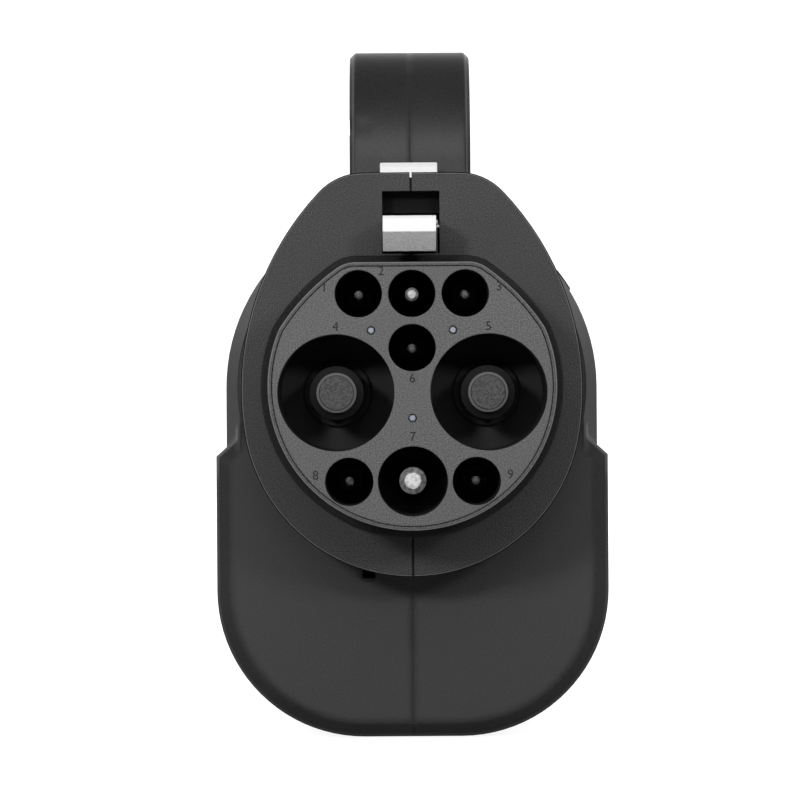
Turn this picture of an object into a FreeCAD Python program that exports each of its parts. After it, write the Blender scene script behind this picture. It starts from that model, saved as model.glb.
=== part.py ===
import FreeCAD, Part
import Sketcher
import math
import os

# Electric vehicle charging adapter: a two-half moulded housing with a carrying loop, a nine-contact plug nose
# at the front (towards -Y) and a combined socket at the rear. Millimetres, +Z up. The origin lies on the
# floor under the middle of the foot pad.

os.makedirs("parts", exist_ok=True)
doc = FreeCAD.newDocument("charging_adapter")
sizes = doc.addObject("Spreadsheet::Sheet", "sizes")
nodes = []


class Measure:
    """A number together with the formula that gives it from the sheet's cells."""

    def __init__(self, value, text):
        self.value = value
        self.text = text

    def __add__(self, other):
        other = measure(other)
        return Measure(self.value + other.value, f"({self.text} + {other.text})")

    def __sub__(self, other):
        other = measure(other)
        return Measure(self.value - other.value, f"({self.text} - {other.text})")

    def __mul__(self, other):
        other = measure(other)
        return Measure(self.value * other.value, f"({self.text} * {other.text})")

    def __truediv__(self, other):
        other = measure(other)
        return Measure(self.value / other.value, f"({self.text} / {other.text})")

    def __neg__(self):
        return Measure(-self.value, f"(0 - {self.text})")

    def __radd__(self, other):
        return measure(other) + self

    def __rsub__(self, other):
        return measure(other) - self

    def __rmul__(self, other):
        return measure(other) * self


def measure(number):
    """Turns a plain number into a Measure; a Measure stays as it is."""
    if isinstance(number, Measure):
        return number
    return Measure(float(number), f"({float(number)!r})")


def cosine(angle):
    return Measure(math.cos(math.radians(angle.value)), f"cos({angle.text})")


def sine(angle):
    return Measure(math.sin(math.radians(angle.value)), f"sin({angle.text})")


def size(alias, value):
    """Writes one driving size into the sheet as a plain number with a name."""
    row = size.next_row
    size.next_row += 1
    sizes.set(f"A{row}", alias)
    sizes.set(f"B{row}", str(value))
    sizes.setAlias(f"B{row}", alias)
    return Measure(float(value), f"sizes.{alias}")


size.next_row = 1


def bind(thing, prop, number):
    """Ties a property of a document object to a formula on the sheet."""
    thing.setExpression(prop, measure(number).text)


def place(thing, x, y, z):
    for axis, number in zip("xyz", (x, y, z)):
        bind(thing, f"Placement.Base.{axis}", number)
    return thing


def block(label, x, y, z):
    """A box between two x, two y and two z."""
    box = doc.addObject("Part::Box", label)
    for prop, span in zip(("Length", "Width", "Height"), (x, y, z)):
        bind(box, prop, span[1] - measure(span[0]))
    return place(box, x[0], y[0], z[0])


TURN_TO = {
    "x": FreeCAD.Rotation(FreeCAD.Vector(0, 1, 0), 90),
    "y": FreeCAD.Rotation(FreeCAD.Vector(1, 0, 0), -90),
    "z": FreeCAD.Rotation(),
}


def rod(label, radius, length, x, y, z, along="y"):
    """A round bar that starts at x, y, z and runs along one axis."""
    bar = doc.addObject("Part::Cylinder", label)
    bind(bar, "Radius", radius)
    bind(bar, "Height", length)
    bar.Placement = FreeCAD.Placement(FreeCAD.Vector(), TURN_TO[along])
    return place(bar, x, y, z)


def join(label, *pieces):
    fused = doc.addObject("Part::MultiFuse", label)
    fused.Shapes = list(pieces)
    fused.Refine = True
    return fused


def trim(label, base, *tools):
    """Takes the tools away from the base."""
    cut = doc.addObject("Part::Cut", label)
    cut.Base = base
    cut.Tool = tools[0] if len(tools) == 1 else join(label + "_tools", *tools)
    cut.Refine = True
    return cut


def overlap(label, *pieces):
    common = doc.addObject("Part::MultiCommon", label)
    common.Shapes = list(pieces)
    return common


def node(thing, name):
    """Keeps an object as a finished piece, named as its file."""
    thing.Label = name
    nodes.append(thing)
    return thing


def new_body(label):
    return doc.addObject("PartDesign::Body", label)


def new_sketch(body, role, offset=0):
    """A sketch on one origin plane of its body, moved along the plane's normal."""
    sketch = body.newObject("Sketcher::SketchObject", body.Name + "_sketch")
    plane = [feature for feature in body.Origin.OriginFeatures if feature.Role == role][0]
    sketch.AttachmentSupport = [(plane, "")]
    sketch.MapMode = "FlatFace"
    bind(sketch, "AttachmentOffset.Base.z", offset)
    return sketch


def fix_point(sketch, element, end, u, v):
    """Holds one point of a sketch at u, v from the sketch's origin."""
    for kind, axis, number in (("DistanceX", -2, measure(u)), ("DistanceY", -1, measure(v))):
        if number.value == 0.0:
            sketch.addConstraint(Sketcher.Constraint("PointOnObject", element, end, axis))
        else:
            index = sketch.addConstraint(Sketcher.Constraint(kind, -1, 1, element, end, number.value))
            sketch.setExpression(f"Constraints[{index}]", number.text)


def fix_height(sketch, element, end, v):
    index = sketch.addConstraint(Sketcher.Constraint("DistanceY", -1, 1, element, end, v.value))
    sketch.setExpression(f"Constraints[{index}]", v.text)


def fix_radius(sketch, element, radius):
    index = sketch.addConstraint(Sketcher.Constraint("Radius", element, radius.value))
    sketch.setExpression(f"Constraints[{index}]", radius.text)


def draw_polygon(sketch, corners):
    """A closed outline of straight lines through the corners."""
    points = [FreeCAD.Vector(measure(u).value, measure(v).value, 0) for u, v in corners]
    count = len(points)
    for index in range(count):
        sketch.addGeometry(Part.LineSegment(points[index], points[(index + 1) % count]), False)
    for index in range(count):
        sketch.addConstraint(Sketcher.Constraint("Coincident", index, 2, (index + 1) % count, 1))
    for index, (u, v) in enumerate(corners):
        fix_point(sketch, index, 1, u, v)


def pad(body, sketch, length, symmetric=False):
    feature = body.newObject("PartDesign::Pad", body.Name + "_pad")
    feature.Profile = sketch
    bind(feature, "Length", length)
    feature.Midplane = symmetric
    sketch.Visibility = False
    body.Tip = feature
    return feature


def chosen_edges(feature, chosen):
    """Names of the feature's edges whose middle point passes the test."""
    doc.recompute()
    names = []
    for index, edge in enumerate(feature.Shape.Edges):
        middle = edge.valueAt((edge.FirstParameter + edge.LastParameter) / 2)
        if chosen(edge, middle):
            names.append(f"Edge{index + 1}")
    return names


def round_edges(body, feature, radius, chosen):
    """Rounds the chosen edges of the body's last feature."""
    names = chosen_edges(feature, chosen)
    rounded = body.newObject("PartDesign::Fillet", body.Name + "_fillet")
    rounded.Base = (feature, names)
    bind(rounded, "Radius", radius)
    body.Tip = rounded
    return rounded


def bevel_edges(body, feature, width, chosen):
    """Breaks the chosen edges of the body's last feature at 45 degrees."""
    names = chosen_edges(feature, chosen)
    broken = body.newObject("PartDesign::Chamfer", body.Name + "_chamfer")
    broken.Base = (feature, names)
    bind(broken, "Size", width)
    body.Tip = broken
    return broken


def runs_along(edge, axis):
    """True for a straight edge parallel to the given axis vector."""
    if edge.Curve.TypeId != "Part::GeomLine":
        return False
    return abs(abs(edge.tangentAt(edge.FirstParameter).dot(axis)) - 1.0) < 1e-6


ACROSS = FreeCAD.Vector(1, 0, 0)
LENGTHWISE = FreeCAD.Vector(0, 1, 0)


def turned(label, profile, x, y, z):
    """A turned piece on an axis along Y; the profile is (radius, distance along the axis) corners."""
    body = new_body(label)
    sketch = new_sketch(body, "XY_Plane")
    draw_polygon(sketch, profile)
    feature = body.newObject("PartDesign::Revolution", label + "_turn")
    feature.Profile = sketch
    feature.ReferenceAxis = (sketch, ["V_Axis"])
    feature.Angle = 360
    body.Tip = feature
    return place(body, x, y, z)


# Driving sizes of the plug nose
wall = size("wall", 3.0)
axis_height = size("axis_height", 82.0)
nose_radius = size("nose_radius", 31.8)
nose_flat_cut = size("nose_flat_cut", 4.6)
nose_corner = size("nose_corner", 7.0)
shoulder_radius = size("shoulder_radius", 48.0)
shoulder_cut = size("shoulder_cut", 1.2)
shoulder_angle = size("shoulder_angle", 50.0)
nose_reach = size("nose_reach", 36.0)
sleeve_wall = size("sleeve_wall", 0.8)
insert_gap = size("insert_gap", 0.15)
rim_proud = size("rim_proud", 0.5)
seat_gap = size("seat_gap", 0.25)
seal_width = size("seal_width", 2.5)
seal_depth = size("seal_depth", 3.0)

# Driving sizes of the housing
flange_side_margin = size("flange_side_margin", 7.13)
flange_foot_margin = size("flange_foot_margin", 11.6)
flange_side_radius = size("flange_side_radius", 65.7)
flange_widest_drop = size("flange_widest_drop", 0.8)
flange_rise = size("flange_rise", 21.5)
flange_corner = size("flange_corner", 14.0)
flange_thickness = size("flange_thickness", 4.5)
flange_edge = size("flange_edge", 0.4)
groove_depth = size("groove_depth", 1.5)
groove_width = size("groove_width", 2.0)
neck_length = size("neck_length", 24.0)
neck_taper_length = size("neck_taper_length", 24.0)
neck_sink = size("neck_sink", 7.5)
barrel_flare = size("barrel_flare", 3.75)
barrel_margin = size("barrel_margin", 8.15)
flare_length = size("flare_length", 32.5)
barrel_edge = size("barrel_edge", 2.0)
barrel_overrun = size("barrel_overrun", 2.0)
lower_half_width = size("lower_half_width", 45.7)
lower_corner = size("lower_corner", 34.3)
lower_setback = size("lower_setback", 24.0)
lower_depth = size("lower_depth", 126.0)
lower_edge = size("lower_edge", 3.5)
ledge_drop = size("ledge_drop", 16.0)
ledge_slope = size("ledge_slope", 41.8)
handle_width = size("handle_width", 28.5)
handle_strap = size("handle_strap", 11.5)
handle_rise = size("handle_rise", 36.9)
handle_bend = size("handle_bend", 26.6)
handle_setback = size("handle_setback", 13.0)
handle_tail = size("handle_tail", 2.0)
handle_edge = size("handle_edge", 1.3)
foot_proud = size("foot_proud", 0.4)
ledge_share = size("ledge_share", 0.4)

# Driving sizes of the latch and its lock, given from the nose face back and from the nose axis up
window_width = size("window_width", 13.0)
window_low = size("window_low", 3.0)
window_height = size("window_height", 14.2)
hook_setback = size("hook_setback", 14.0)
hook_width = size("hook_width", 11.9)
lever_offset = size("lever_offset", -0.4)
hook_face = size("hook_face", 3.6)
hook_depth = size("hook_depth", 7.5)
tooth_drop = size("tooth_drop", 4.2)
tooth_width = size("tooth_width", 2.2)
arm_thickness = size("arm_thickness", 4.4)
arm_rise = size("arm_rise", 3.4)
eye_radius = size("eye_radius", 2.6)
hook_edge = size("hook_edge", 0.7)
tail_setback = size("tail_setback", 1.5)
pivot_setback = size("pivot_setback", 7.5)
pivot_rise = size("pivot_rise", 3.0)
pivot_radius = size("pivot_radius", 1.5)
pivot_clearance = size("pivot_clearance", 0.05)
pin_press = size("pin_press", 0.02)
pad_width = size("pad_width", 13.3)
pad_setback = size("pad_setback", 8.5)
pad_length = size("pad_length", 12.0)
pad_proud = size("pad_proud", 3.3)
pad_edge = size("pad_edge", 1.0)
pad_root = size("pad_root", 2.0)
pad_swing = size("pad_swing", 2.6)
slot_gap = size("slot_gap", 0.5)
spring_space = size("spring_space", 7.5)
shelf_thickness = size("shelf_thickness", 2.5)
solenoid_length = size("solenoid_length", 22.0)
solenoid_width = size("solenoid_width", 16.0)
solenoid_height = size("solenoid_height", 12.0)
plunger_radius = size("plunger_radius", 2.0)
plunger_clearance = size("plunger_clearance", 0.1)
plunger_gap = size("plunger_gap", 3.0)
tail_travel = size("tail_travel", 2.6)
coil_radius = size("coil_radius", 2.6)
wire_radius = size("wire_radius", 0.45)
spring_setback = size("spring_setback", 4.2)
plunger_edge = size("plunger_edge", 0.6)
plunger_seat = size("plunger_seat", 4.0)
plunger_overlap = size("plunger_overlap", 1.0)
coil_turns = size("coil_turns", 3.0)

# Driving sizes of the rear socket
socket_radius = size("socket_radius", 27.5)
socket_flat = size("socket_flat", 22.5)
socket_foot = size("socket_foot", 51.0)
socket_corner = size("socket_corner", 13.0)
socket_shoulder = size("socket_shoulder", 2.0)
socket_groove = size("socket_groove", 4.0)
socket_wall = size("socket_wall", 2.2)
socket_depth = size("socket_depth", 40.0)
socket_floor = size("socket_floor", 4.0)
socket_recess = size("socket_recess", 5.0)
snout_reach = size("snout_reach", 12.0)
cup_setback = size("cup_setback", 1.0)
snout_wall = size("snout_wall", 2.5)
collar_thickness = size("collar_thickness", 3.0)
collar_width = size("collar_width", 2.0)
rib_thickness = size("rib_thickness", 2.5)

# Driving sizes of what the housing carries
post_radius = size("post_radius", 5.8)
screw_radius = size("screw_radius", 2.0)
screw_clearance = size("screw_clearance", 0.05)
front_screw_height = size("front_screw_height", 36.0)
rear_screw_height = size("rear_screw_height", 11.0)
leg_screw_rise = size("leg_screw_rise", 16.6)
side_screw_y = size("side_screw_y", 14.7)
side_screw_drop = size("side_screw_drop", 31.5)
post_overlap = size("post_overlap", 3.2)
screw_head_radius = size("screw_head_radius", 3.6)
screw_head_height = size("screw_head_height", 2.6)
screw_seat = size("screw_seat", 9.0)
screw_reach = size("screw_reach", 17.0)
sink_radius = size("sink_radius", 4.0)
boss_radius = size("boss_radius", 4.0)
cheek_gap = size("cheek_gap", 0.8)
notch_width = size("notch_width", 0.45)
notch_depth = size("notch_depth", 1.2)
drain_width = size("drain_width", 3.0)
drain_height = size("drain_height", 3.4)
drain_side = size("drain_side", 10.2)
drain_gap = size("drain_gap", 1.2)
foot_pad_width = size("foot_pad_width", 33.0)
foot_pad_length = size("foot_pad_length", 100.0)
foot_pad_thickness = size("foot_pad_thickness", 2.0)
button_angle = size("button_angle", 35.0)
button_radius = size("button_radius", 3.5)
button_proud = size("button_proud", 1.6)
button_rim = size("button_rim", 1.0)
button_travel = size("button_travel", 0.8)
button_clearance = size("button_clearance", 0.3)
button_setback = size("button_setback", 45.0)
board_side_gap = size("board_side_gap", 3.5)
board_length = size("board_length", 74.0)
board_thickness = size("board_thickness", 1.6)
board_height = size("board_height", 28.0)
board_front_gap = size("board_front_gap", 6.0)
rail_width = size("rail_width", 10.0)
cell_radius = size("cell_radius", 9.2)
cell_length = size("cell_length", 65.0)
cell_gap = size("cell_gap", 0.6)
nub_radius = size("nub_radius", 3.2)
nub_length = size("nub_length", 1.0)
cell_lift = size("cell_lift", 0.6)
cell_setback = size("cell_setback", 3.0)
front_cradle_share = size("front_cradle_share", 0.15)
rear_cradle_share = size("rear_cradle_share", 0.8)
relay_height = size("relay_height", 15.0)
chip_height = size("chip_height", 2.0)
can_radius = size("can_radius", 5.0)
can_height = size("can_height", 13.0)
can_share = size("can_share", 0.61)
switch_size = size("switch_size", 6.0)
switch_gap = size("switch_gap", 0.3)
switch_stem = size("switch_stem", 2.4)

# Driving sizes of the contacts: places from the nose axis, depths from the nose face
insert_length = size("insert_length", 34.0)
plate_thickness = size("plate_thickness", 12.0)
face_edge = size("face_edge", 0.3)
cap_edge = size("cap_edge", 0.7)
dc_spacing = size("dc_spacing", 33.6)
dc_drop = size("dc_drop", 1.45)
dc_well_radius = size("dc_well_radius", 12.85)
dc_pin_radius = size("dc_pin_radius", 6.0)
dc_cap_radius = size("dc_cap_radius", 4.45)
dc_cap_depth = size("dc_cap_depth", 8.0)
dc_cap_proud = size("dc_cap_proud", 3.0)
cap_stem_radius = size("cap_stem_radius", 2.5)
cap_stem_length = size("cap_stem_length", 8.0)
pe_drop = size("pe_drop", 21.0)
pe_well_radius = size("pe_well_radius", 7.7)
pe_pin_radius = size("pe_pin_radius", 3.0)
pe_pin_depth = size("pe_pin_depth", 7.5)
aux_spacing = size("aux_spacing", 28.0)
aux_well_radius = size("aux_well_radius", 5.3)
signal_spacing = size("signal_spacing", 23.5)
signal_rise = size("signal_rise", 20.3)
check_rise = size("check_rise", 8.4)
signal_well_radius = size("signal_well_radius", 5.2)
small_pin_radius = size("small_pin_radius", 1.5)
small_pin_depth = size("small_pin_depth", 12.0)
long_pin_depth = size("long_pin_depth", 9.0)
pin_collar = size("pin_collar", 1.5)
pin_collar_length = size("pin_collar_length", 2.0)
pin_step = size("pin_step", 0.4)
pin_tail = size("pin_tail", 6.0)
tip_share = size("tip_share", 0.4)
pin_seat_gap = size("pin_seat_gap", 0.05)
rivet_radius = size("rivet_radius", 0.88)
rivet_length = size("rivet_length", 6.0)
rivet_edge = size("rivet_edge", 0.26)
rivet_spacing = size("rivet_spacing", 18.0)
rivet_rise = size("rivet_rise", 12.2)
rivet_drop = size("rivet_drop", 7.1)

# Driving sizes of the socket's contacts, from the nose axis
ac_well_radius = size("ac_well_radius", 5.5)
control_well_radius = size("control_well_radius", 4.2)
ac_side = size("ac_side", 16.0)
ac_low_side = size("ac_low_side", 9.0)
ac_low_drop = size("ac_low_drop", 14.5)
control_side = size("control_side", 7.5)
control_rise = size("control_rise", 13.5)
dc_socket_spacing = size("dc_socket_spacing", 27.0)
dc_socket_drop = size("dc_socket_drop", 37.5)
dc_socket_well_radius = size("dc_socket_well_radius", 8.5)
dc_socket_pin_radius = size("dc_socket_pin_radius", 4.0)
socket_pin_recess = size("socket_pin_recess", 7.0)
socket_pin_tail = size("socket_pin_tail", 6.0)
socket_seal_thickness = size("socket_seal_thickness", 1.5)
socket_seal_gap = size("socket_seal_gap", 0.3)
bar_width = size("bar_width", 10.0)
bar_thickness = size("bar_thickness", 3.0)
bar_lap = size("bar_lap", 1.5)
bar_drop = size("bar_drop", 9.0)

# Planes along the length, from the nose face back
lower_front = -0.5 * lower_depth
lower_rear = 0.5 * lower_depth
flange_front = lower_front - lower_setback
face_y = flange_front - nose_reach
flange_rear = flange_front + flange_thickness
barrel_front = flange_rear + groove_width
neck_rear = flange_rear + neck_length
barrel_rear = lower_rear + barrel_overrun

nose_top = nose_radius - nose_flat_cut
flange_top = nose_top + flange_rise
flange_half_width = nose_radius + flange_side_margin
flange_foot = nose_radius + flange_foot_margin
barrel_front_radius = nose_radius + barrel_margin
barrel_radius = barrel_front_radius + barrel_flare


def arched_outline(sketch, low_centre, low_radius, side_u, side_v, side_radius, top, touching=False):
    """A round bottom, two bowed sides and a flat top. The sides are arcs about (-side_u, side_v) and
    (side_u, side_v), each on the far side of the middle. All heights are from the floor. Where the arcs
    touch, the bottom arc runs smoothly into the sides, and that sets its radius."""
    centre = FreeCAD.Vector(0, low_centre.value, 0)
    reach = math.hypot(side_u.value, side_v.value - low_centre.value)
    surplus = low_radius.value ** 2 + reach ** 2 - side_radius.value ** 2
    cosine_at_low = surplus / (2 * low_radius.value * reach)
    towards_side = math.atan2(side_v.value - low_centre.value, side_u.value)
    low_angle = towards_side + math.acos(max(-1.0, min(1.0, cosine_at_low)))
    if math.cos(low_angle) > 0:
        low_angle = towards_side - math.acos(max(-1.0, min(1.0, cosine_at_low)))
    left_low = centre + FreeCAD.Vector(math.cos(low_angle), math.sin(low_angle), 0) * low_radius.value
    rise = top.value - side_v.value
    half_top = math.sqrt(side_radius.value ** 2 - rise ** 2) - side_u.value
    start = math.atan2(left_low.y - low_centre.value, left_low.x)
    circle = Part.Circle(centre, FreeCAD.Vector(0, 0, 1), low_radius.value)
    round_turn = 2 * math.pi
    low_arc = Part.ArcOfCircle(circle, start % round_turn, (math.pi - start) % round_turn)
    sketch.addGeometry(low_arc, False)
    for side in (1, -1):
        middle = FreeCAD.Vector(-side * side_u.value, side_v.value, 0)
        circle = Part.Circle(middle, FreeCAD.Vector(0, 0, 1), side_radius.value)
        low = math.atan2(left_low.y - side_v.value, -left_low.x + side_u.value)
        high = math.asin(rise / side_radius.value)
        if side == 1:
            sketch.addGeometry(Part.ArcOfCircle(circle, low, high), False)
        else:
            sketch.addGeometry(Part.ArcOfCircle(circle, math.pi - high, math.pi - low), False)
    flat = Part.LineSegment(FreeCAD.Vector(half_top, top.value, 0), FreeCAD.Vector(-half_top, top.value, 0))
    sketch.addGeometry(flat, False)
    for first, first_end, second, second_end in ((1, 2, 3, 1), (3, 2, 2, 1)):
        sketch.addConstraint(Sketcher.Constraint("Coincident", first, first_end, second, second_end))
    low_join = "Tangent" if touching else "Coincident"
    for first, first_end, second, second_end in ((0, 2, 1, 1), (2, 2, 0, 1)):
        sketch.addConstraint(Sketcher.Constraint(low_join, first, first_end, second, second_end))
    if touching:
        fix_height(sketch, 0, 3, low_centre)
    else:
        fix_point(sketch, 0, 3, 0, low_centre)
        fix_radius(sketch, 0, low_radius)
    fix_point(sketch, 1, 3, -side_u, side_v)
    fix_point(sketch, 2, 3, side_u, side_v)
    fix_radius(sketch, 1, side_radius)
    sketch.addConstraint(Sketcher.Constraint("Equal", 1, 2))
    sketch.addConstraint(Sketcher.Constraint("Horizontal", 3))
    fix_height(sketch, 3, 1, top)


def nose_outline(body, y, grow):
    """The plug's outline at one depth, moved outwards by grow."""
    away = shoulder_radius - nose_radius + shoulder_cut
    sketch = new_sketch(body, "XZ_Plane", -y)
    arched_outline(
        sketch,
        axis_height,
        nose_radius + grow,
        away * cosine(shoulder_angle),
        axis_height - away * sine(shoulder_angle),
        shoulder_radius + grow,
        axis_height + nose_top + grow,
    )
    return sketch


def flange_outline(body, y, grow):
    """The egg outline of flange and neck. The bottom arc's radius follows from its touching the side arcs."""
    side_u = flange_side_radius - flange_half_width
    fall = flange_foot - flange_widest_drop
    low_radius = (
        (flange_side_radius * flange_side_radius - side_u * side_u - fall * fall)
        / (2 * (flange_side_radius - fall))
    )
    sketch = new_sketch(body, "XZ_Plane", -y)
    arched_outline(
        sketch,
        axis_height - flange_foot + low_radius,
        low_radius + grow,
        side_u,
        axis_height - flange_widest_drop,
        flange_side_radius + grow,
        axis_height + flange_top + grow,
        touching=True,
    )
    return sketch


def nose_prism(label, front, rear, grow):
    """A length of the plug's outline between two depths, its four sharp corners rounded."""
    body = new_body(label)
    feature = pad(body, nose_outline(body, rear, grow), rear - front)
    round_edges(body, feature, nose_corner + grow, lambda edge, middle: runs_along(edge, LENGTHWISE))
    return body


def egg_prism(label, front, rear, grow, corner):
    """A length of the flange's outline. Only the two top corners are sharp."""
    body = new_body(label)
    feature = pad(body, flange_outline(body, rear, grow), rear - front)
    high = axis_height.value + 0.5 * flange_top.value
    feature = round_edges(
        body, feature, corner, lambda edge, middle: runs_along(edge, LENGTHWISE) and middle.z > high
    )
    return body, feature


def neck_form(label, front, inset):
    """The neck behind the flange: a straight length, then a taper that sinks into the barrel."""
    body, feature = egg_prism(label, front, neck_rear, -inset, flange_corner - inset)
    taper = body.newObject("PartDesign::AdditiveLoft", label + "_taper")
    taper.Profile = flange_outline(body, neck_rear, -inset)
    taper.Sections = [flange_outline(body, neck_rear + neck_taper_length, -inset - neck_sink)]
    body.Tip = taper
    return body


def barrel_form(label, inset, front, rear):
    """The round body, turned about the nose axis: a narrow front, a flare and a long barrel."""
    profile = [
        (0, front),
        (barrel_front_radius - inset, front),
        (barrel_front_radius - inset, lower_front),
        (barrel_radius - inset, barrel_front + flare_length),
        (barrel_radius - inset, rear),
        (0, rear),
    ]
    return turned(label, profile, 0, 0, axis_height)


def barrel_sides(label, low, high):
    """Upright walls under the barrel's widest points, with the flare at the front and a bevel at the rear."""
    body = new_body(label)
    sketch = new_sketch(body, "XY_Plane", low)
    right = [
        (barrel_front_radius, lower_front),
        (barrel_radius, barrel_front + flare_length),
        (barrel_radius, barrel_rear - barrel_edge),
        (barrel_radius - barrel_edge, barrel_rear),
    ]
    left = [(-x, y) for x, y in reversed(right)]
    draw_polygon(sketch, right + left)
    pad(body, sketch, high - low)
    return body


def lower_form(label, inset, floor):
    """The deep lower body. Its sloping ledges run up into the barrel at the ledge angle."""
    body = new_body(label)
    half_width = lower_half_width - inset
    ledge = axis_height - ledge_drop - 0.5 * inset
    ledge_in = lower_half_width * ledge_share
    ledge_up = ledge_in * sine(ledge_slope) / cosine(ledge_slope)
    sketch = new_sketch(body, "XZ_Plane", -(lower_rear - inset))
    corners = [
        (-half_width, floor + inset),
        (half_width, floor + inset),
        (half_width, ledge),
        (half_width - ledge_in, ledge + ledge_up),
        (-half_width + ledge_in, ledge + ledge_up),
        (-half_width, ledge),
    ]
    draw_polygon(sketch, corners)
    feature = pad(body, sketch, lower_depth - 2 * inset)
    low = (floor + inset).value + 1.0
    feature = round_edges(
        body,
        feature,
        lower_corner - inset,
        lambda edge, middle: runs_along(edge, LENGTHWISE) and middle.z < low,
    )
    return body, feature


def handle_form(label, inset):
    """The carrying loop: an arch of even thickness whose feet stand in the barrel."""
    body = new_body(label)
    sketch = new_sketch(body, "YZ_Plane")
    foot = axis_height + barrel_radius - 2 * wall
    top = axis_height + barrel_radius + handle_rise - inset
    underside = axis_height + barrel_radius + handle_rise - handle_strap + inset
    front = lower_front + handle_setback + inset
    rear = lower_rear - handle_tail - inset
    front_inner = lower_front + handle_setback + handle_strap - inset
    rear_inner = lower_rear - handle_tail - handle_strap + inset
    corners = [
        (front, foot),
        (front, top),
        (rear, top),
        (rear, foot),
        (rear_inner, foot),
        (rear_inner, underside),
        (front_inner, underside),
        (front_inner, foot),
    ]
    draw_polygon(sketch, corners)
    feature = pad(body, sketch, handle_width - 2 * inset, symmetric=True)
    high = underside.value - 0.5
    crown = top.value - 0.5
    feature = round_edges(
        body,
        feature,
        handle_bend - inset,
        lambda edge, middle: runs_along(edge, ACROSS) and middle.z > crown,
    )
    feature = round_edges(
        body,
        feature,
        handle_bend - handle_strap + inset,
        lambda edge, middle: runs_along(edge, ACROSS) and high < middle.z < crown,
    )
    return body, feature


latch_front = face_y + hook_setback
window_floor = axis_height + nose_top + window_low
window_roof = window_floor + window_height
arm_low = window_floor + arm_rise
arm_high = arm_low + arm_thickness
pivot_y = flange_rear + pivot_setback
pivot_z = arm_low + pivot_rise
pad_front = pivot_y + pad_setback
pad_rear = pad_front + pad_length
pad_top = axis_height + flange_top + pad_proud
shelf_top = arm_low - spring_space
lever_x = lever_offset
snout_rear = barrel_rear + snout_reach
cup_rear = snout_rear - cup_setback
cup_floor = cup_rear - socket_depth
cup_front = cup_floor - socket_floor


def straight_box(label, half_width, y, z):
    """A box that is centred on the middle plane."""
    return block(label, (-half_width, half_width), y, z)


def socket_outline(body, y, grow):
    """The combined socket's outline: a round top with a flat on it over straight sides."""
    radius = socket_radius + grow
    top = socket_flat + grow
    sketch = new_sketch(body, "XZ_Plane", -y)
    height = axis_height.value
    half_top = math.sqrt(radius.value ** 2 - top.value ** 2)
    foot = (axis_height - socket_foot - grow).value
    circle = Part.Circle(FreeCAD.Vector(0, height, 0), FreeCAD.Vector(0, 0, 1), radius.value)
    high = math.atan2(top.value, half_top)
    points = [
        FreeCAD.Vector(radius.value, height, 0),
        FreeCAD.Vector(radius.value, foot, 0),
        FreeCAD.Vector(-radius.value, foot, 0),
        FreeCAD.Vector(-radius.value, height, 0),
    ]
    sketch.addGeometry(Part.ArcOfCircle(circle, 0, high), False)
    flat_height = height + top.value
    flat_ends = (FreeCAD.Vector(half_top, flat_height, 0), FreeCAD.Vector(-half_top, flat_height, 0))
    sketch.addGeometry(Part.LineSegment(*flat_ends), False)
    sketch.addGeometry(Part.ArcOfCircle(circle, math.pi - high, math.pi), False)
    sketch.addGeometry(Part.LineSegment(points[3], points[2]), False)
    sketch.addGeometry(Part.LineSegment(points[2], points[1]), False)
    sketch.addGeometry(Part.LineSegment(points[1], points[0]), False)
    for first, second in ((0, 1), (1, 2), (2, 3), (3, 4), (4, 5), (5, 0)):
        sketch.addConstraint(Sketcher.Constraint("Coincident", first, 2, second, 1))
    fix_point(sketch, 0, 3, 0, axis_height)
    fix_point(sketch, 2, 3, 0, axis_height)
    fix_radius(sketch, 0, radius)
    sketch.addConstraint(Sketcher.Constraint("Horizontal", 1))
    sketch.addConstraint(Sketcher.Constraint("Vertical", 3))
    sketch.addConstraint(Sketcher.Constraint("Vertical", 5))
    sketch.addConstraint(Sketcher.Constraint("Horizontal", 4))
    fix_height(sketch, 1, 1, axis_height + top)
    fix_height(sketch, 0, 1, axis_height)
    fix_height(sketch, 2, 2, axis_height)
    fix_height(sketch, 4, 1, axis_height - socket_foot - grow)
    return sketch


def socket_prism(label, front, rear, grow):
    """A length of the socket's outline between two depths, its corners rounded."""
    body = new_body(label)
    feature = pad(body, socket_outline(body, rear, grow), rear - front)
    high = axis_height.value + 1.0
    feature = round_edges(
        body,
        feature,
        socket_shoulder + grow,
        lambda edge, middle: runs_along(edge, LENGTHWISE) and middle.z > high,
    )
    low = (axis_height - 0.9 * socket_foot).value
    round_edges(
        body,
        feature,
        socket_corner + grow,
        lambda edge, middle: runs_along(edge, LENGTHWISE) and middle.z < low,
    )
    return body


def side_prism(label, corners, low, high):
    """A flat piece cut to a side profile, from one x to another."""
    body = new_body(label)
    sketch = new_sketch(body, "YZ_Plane", low)
    draw_polygon(sketch, corners)
    pad(body, sketch, high - low)
    return body


def rear_edges(y):
    return lambda edge, middle: abs(middle.y - y) < 0.01 and not runs_along(edge, LENGTHWISE)


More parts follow.
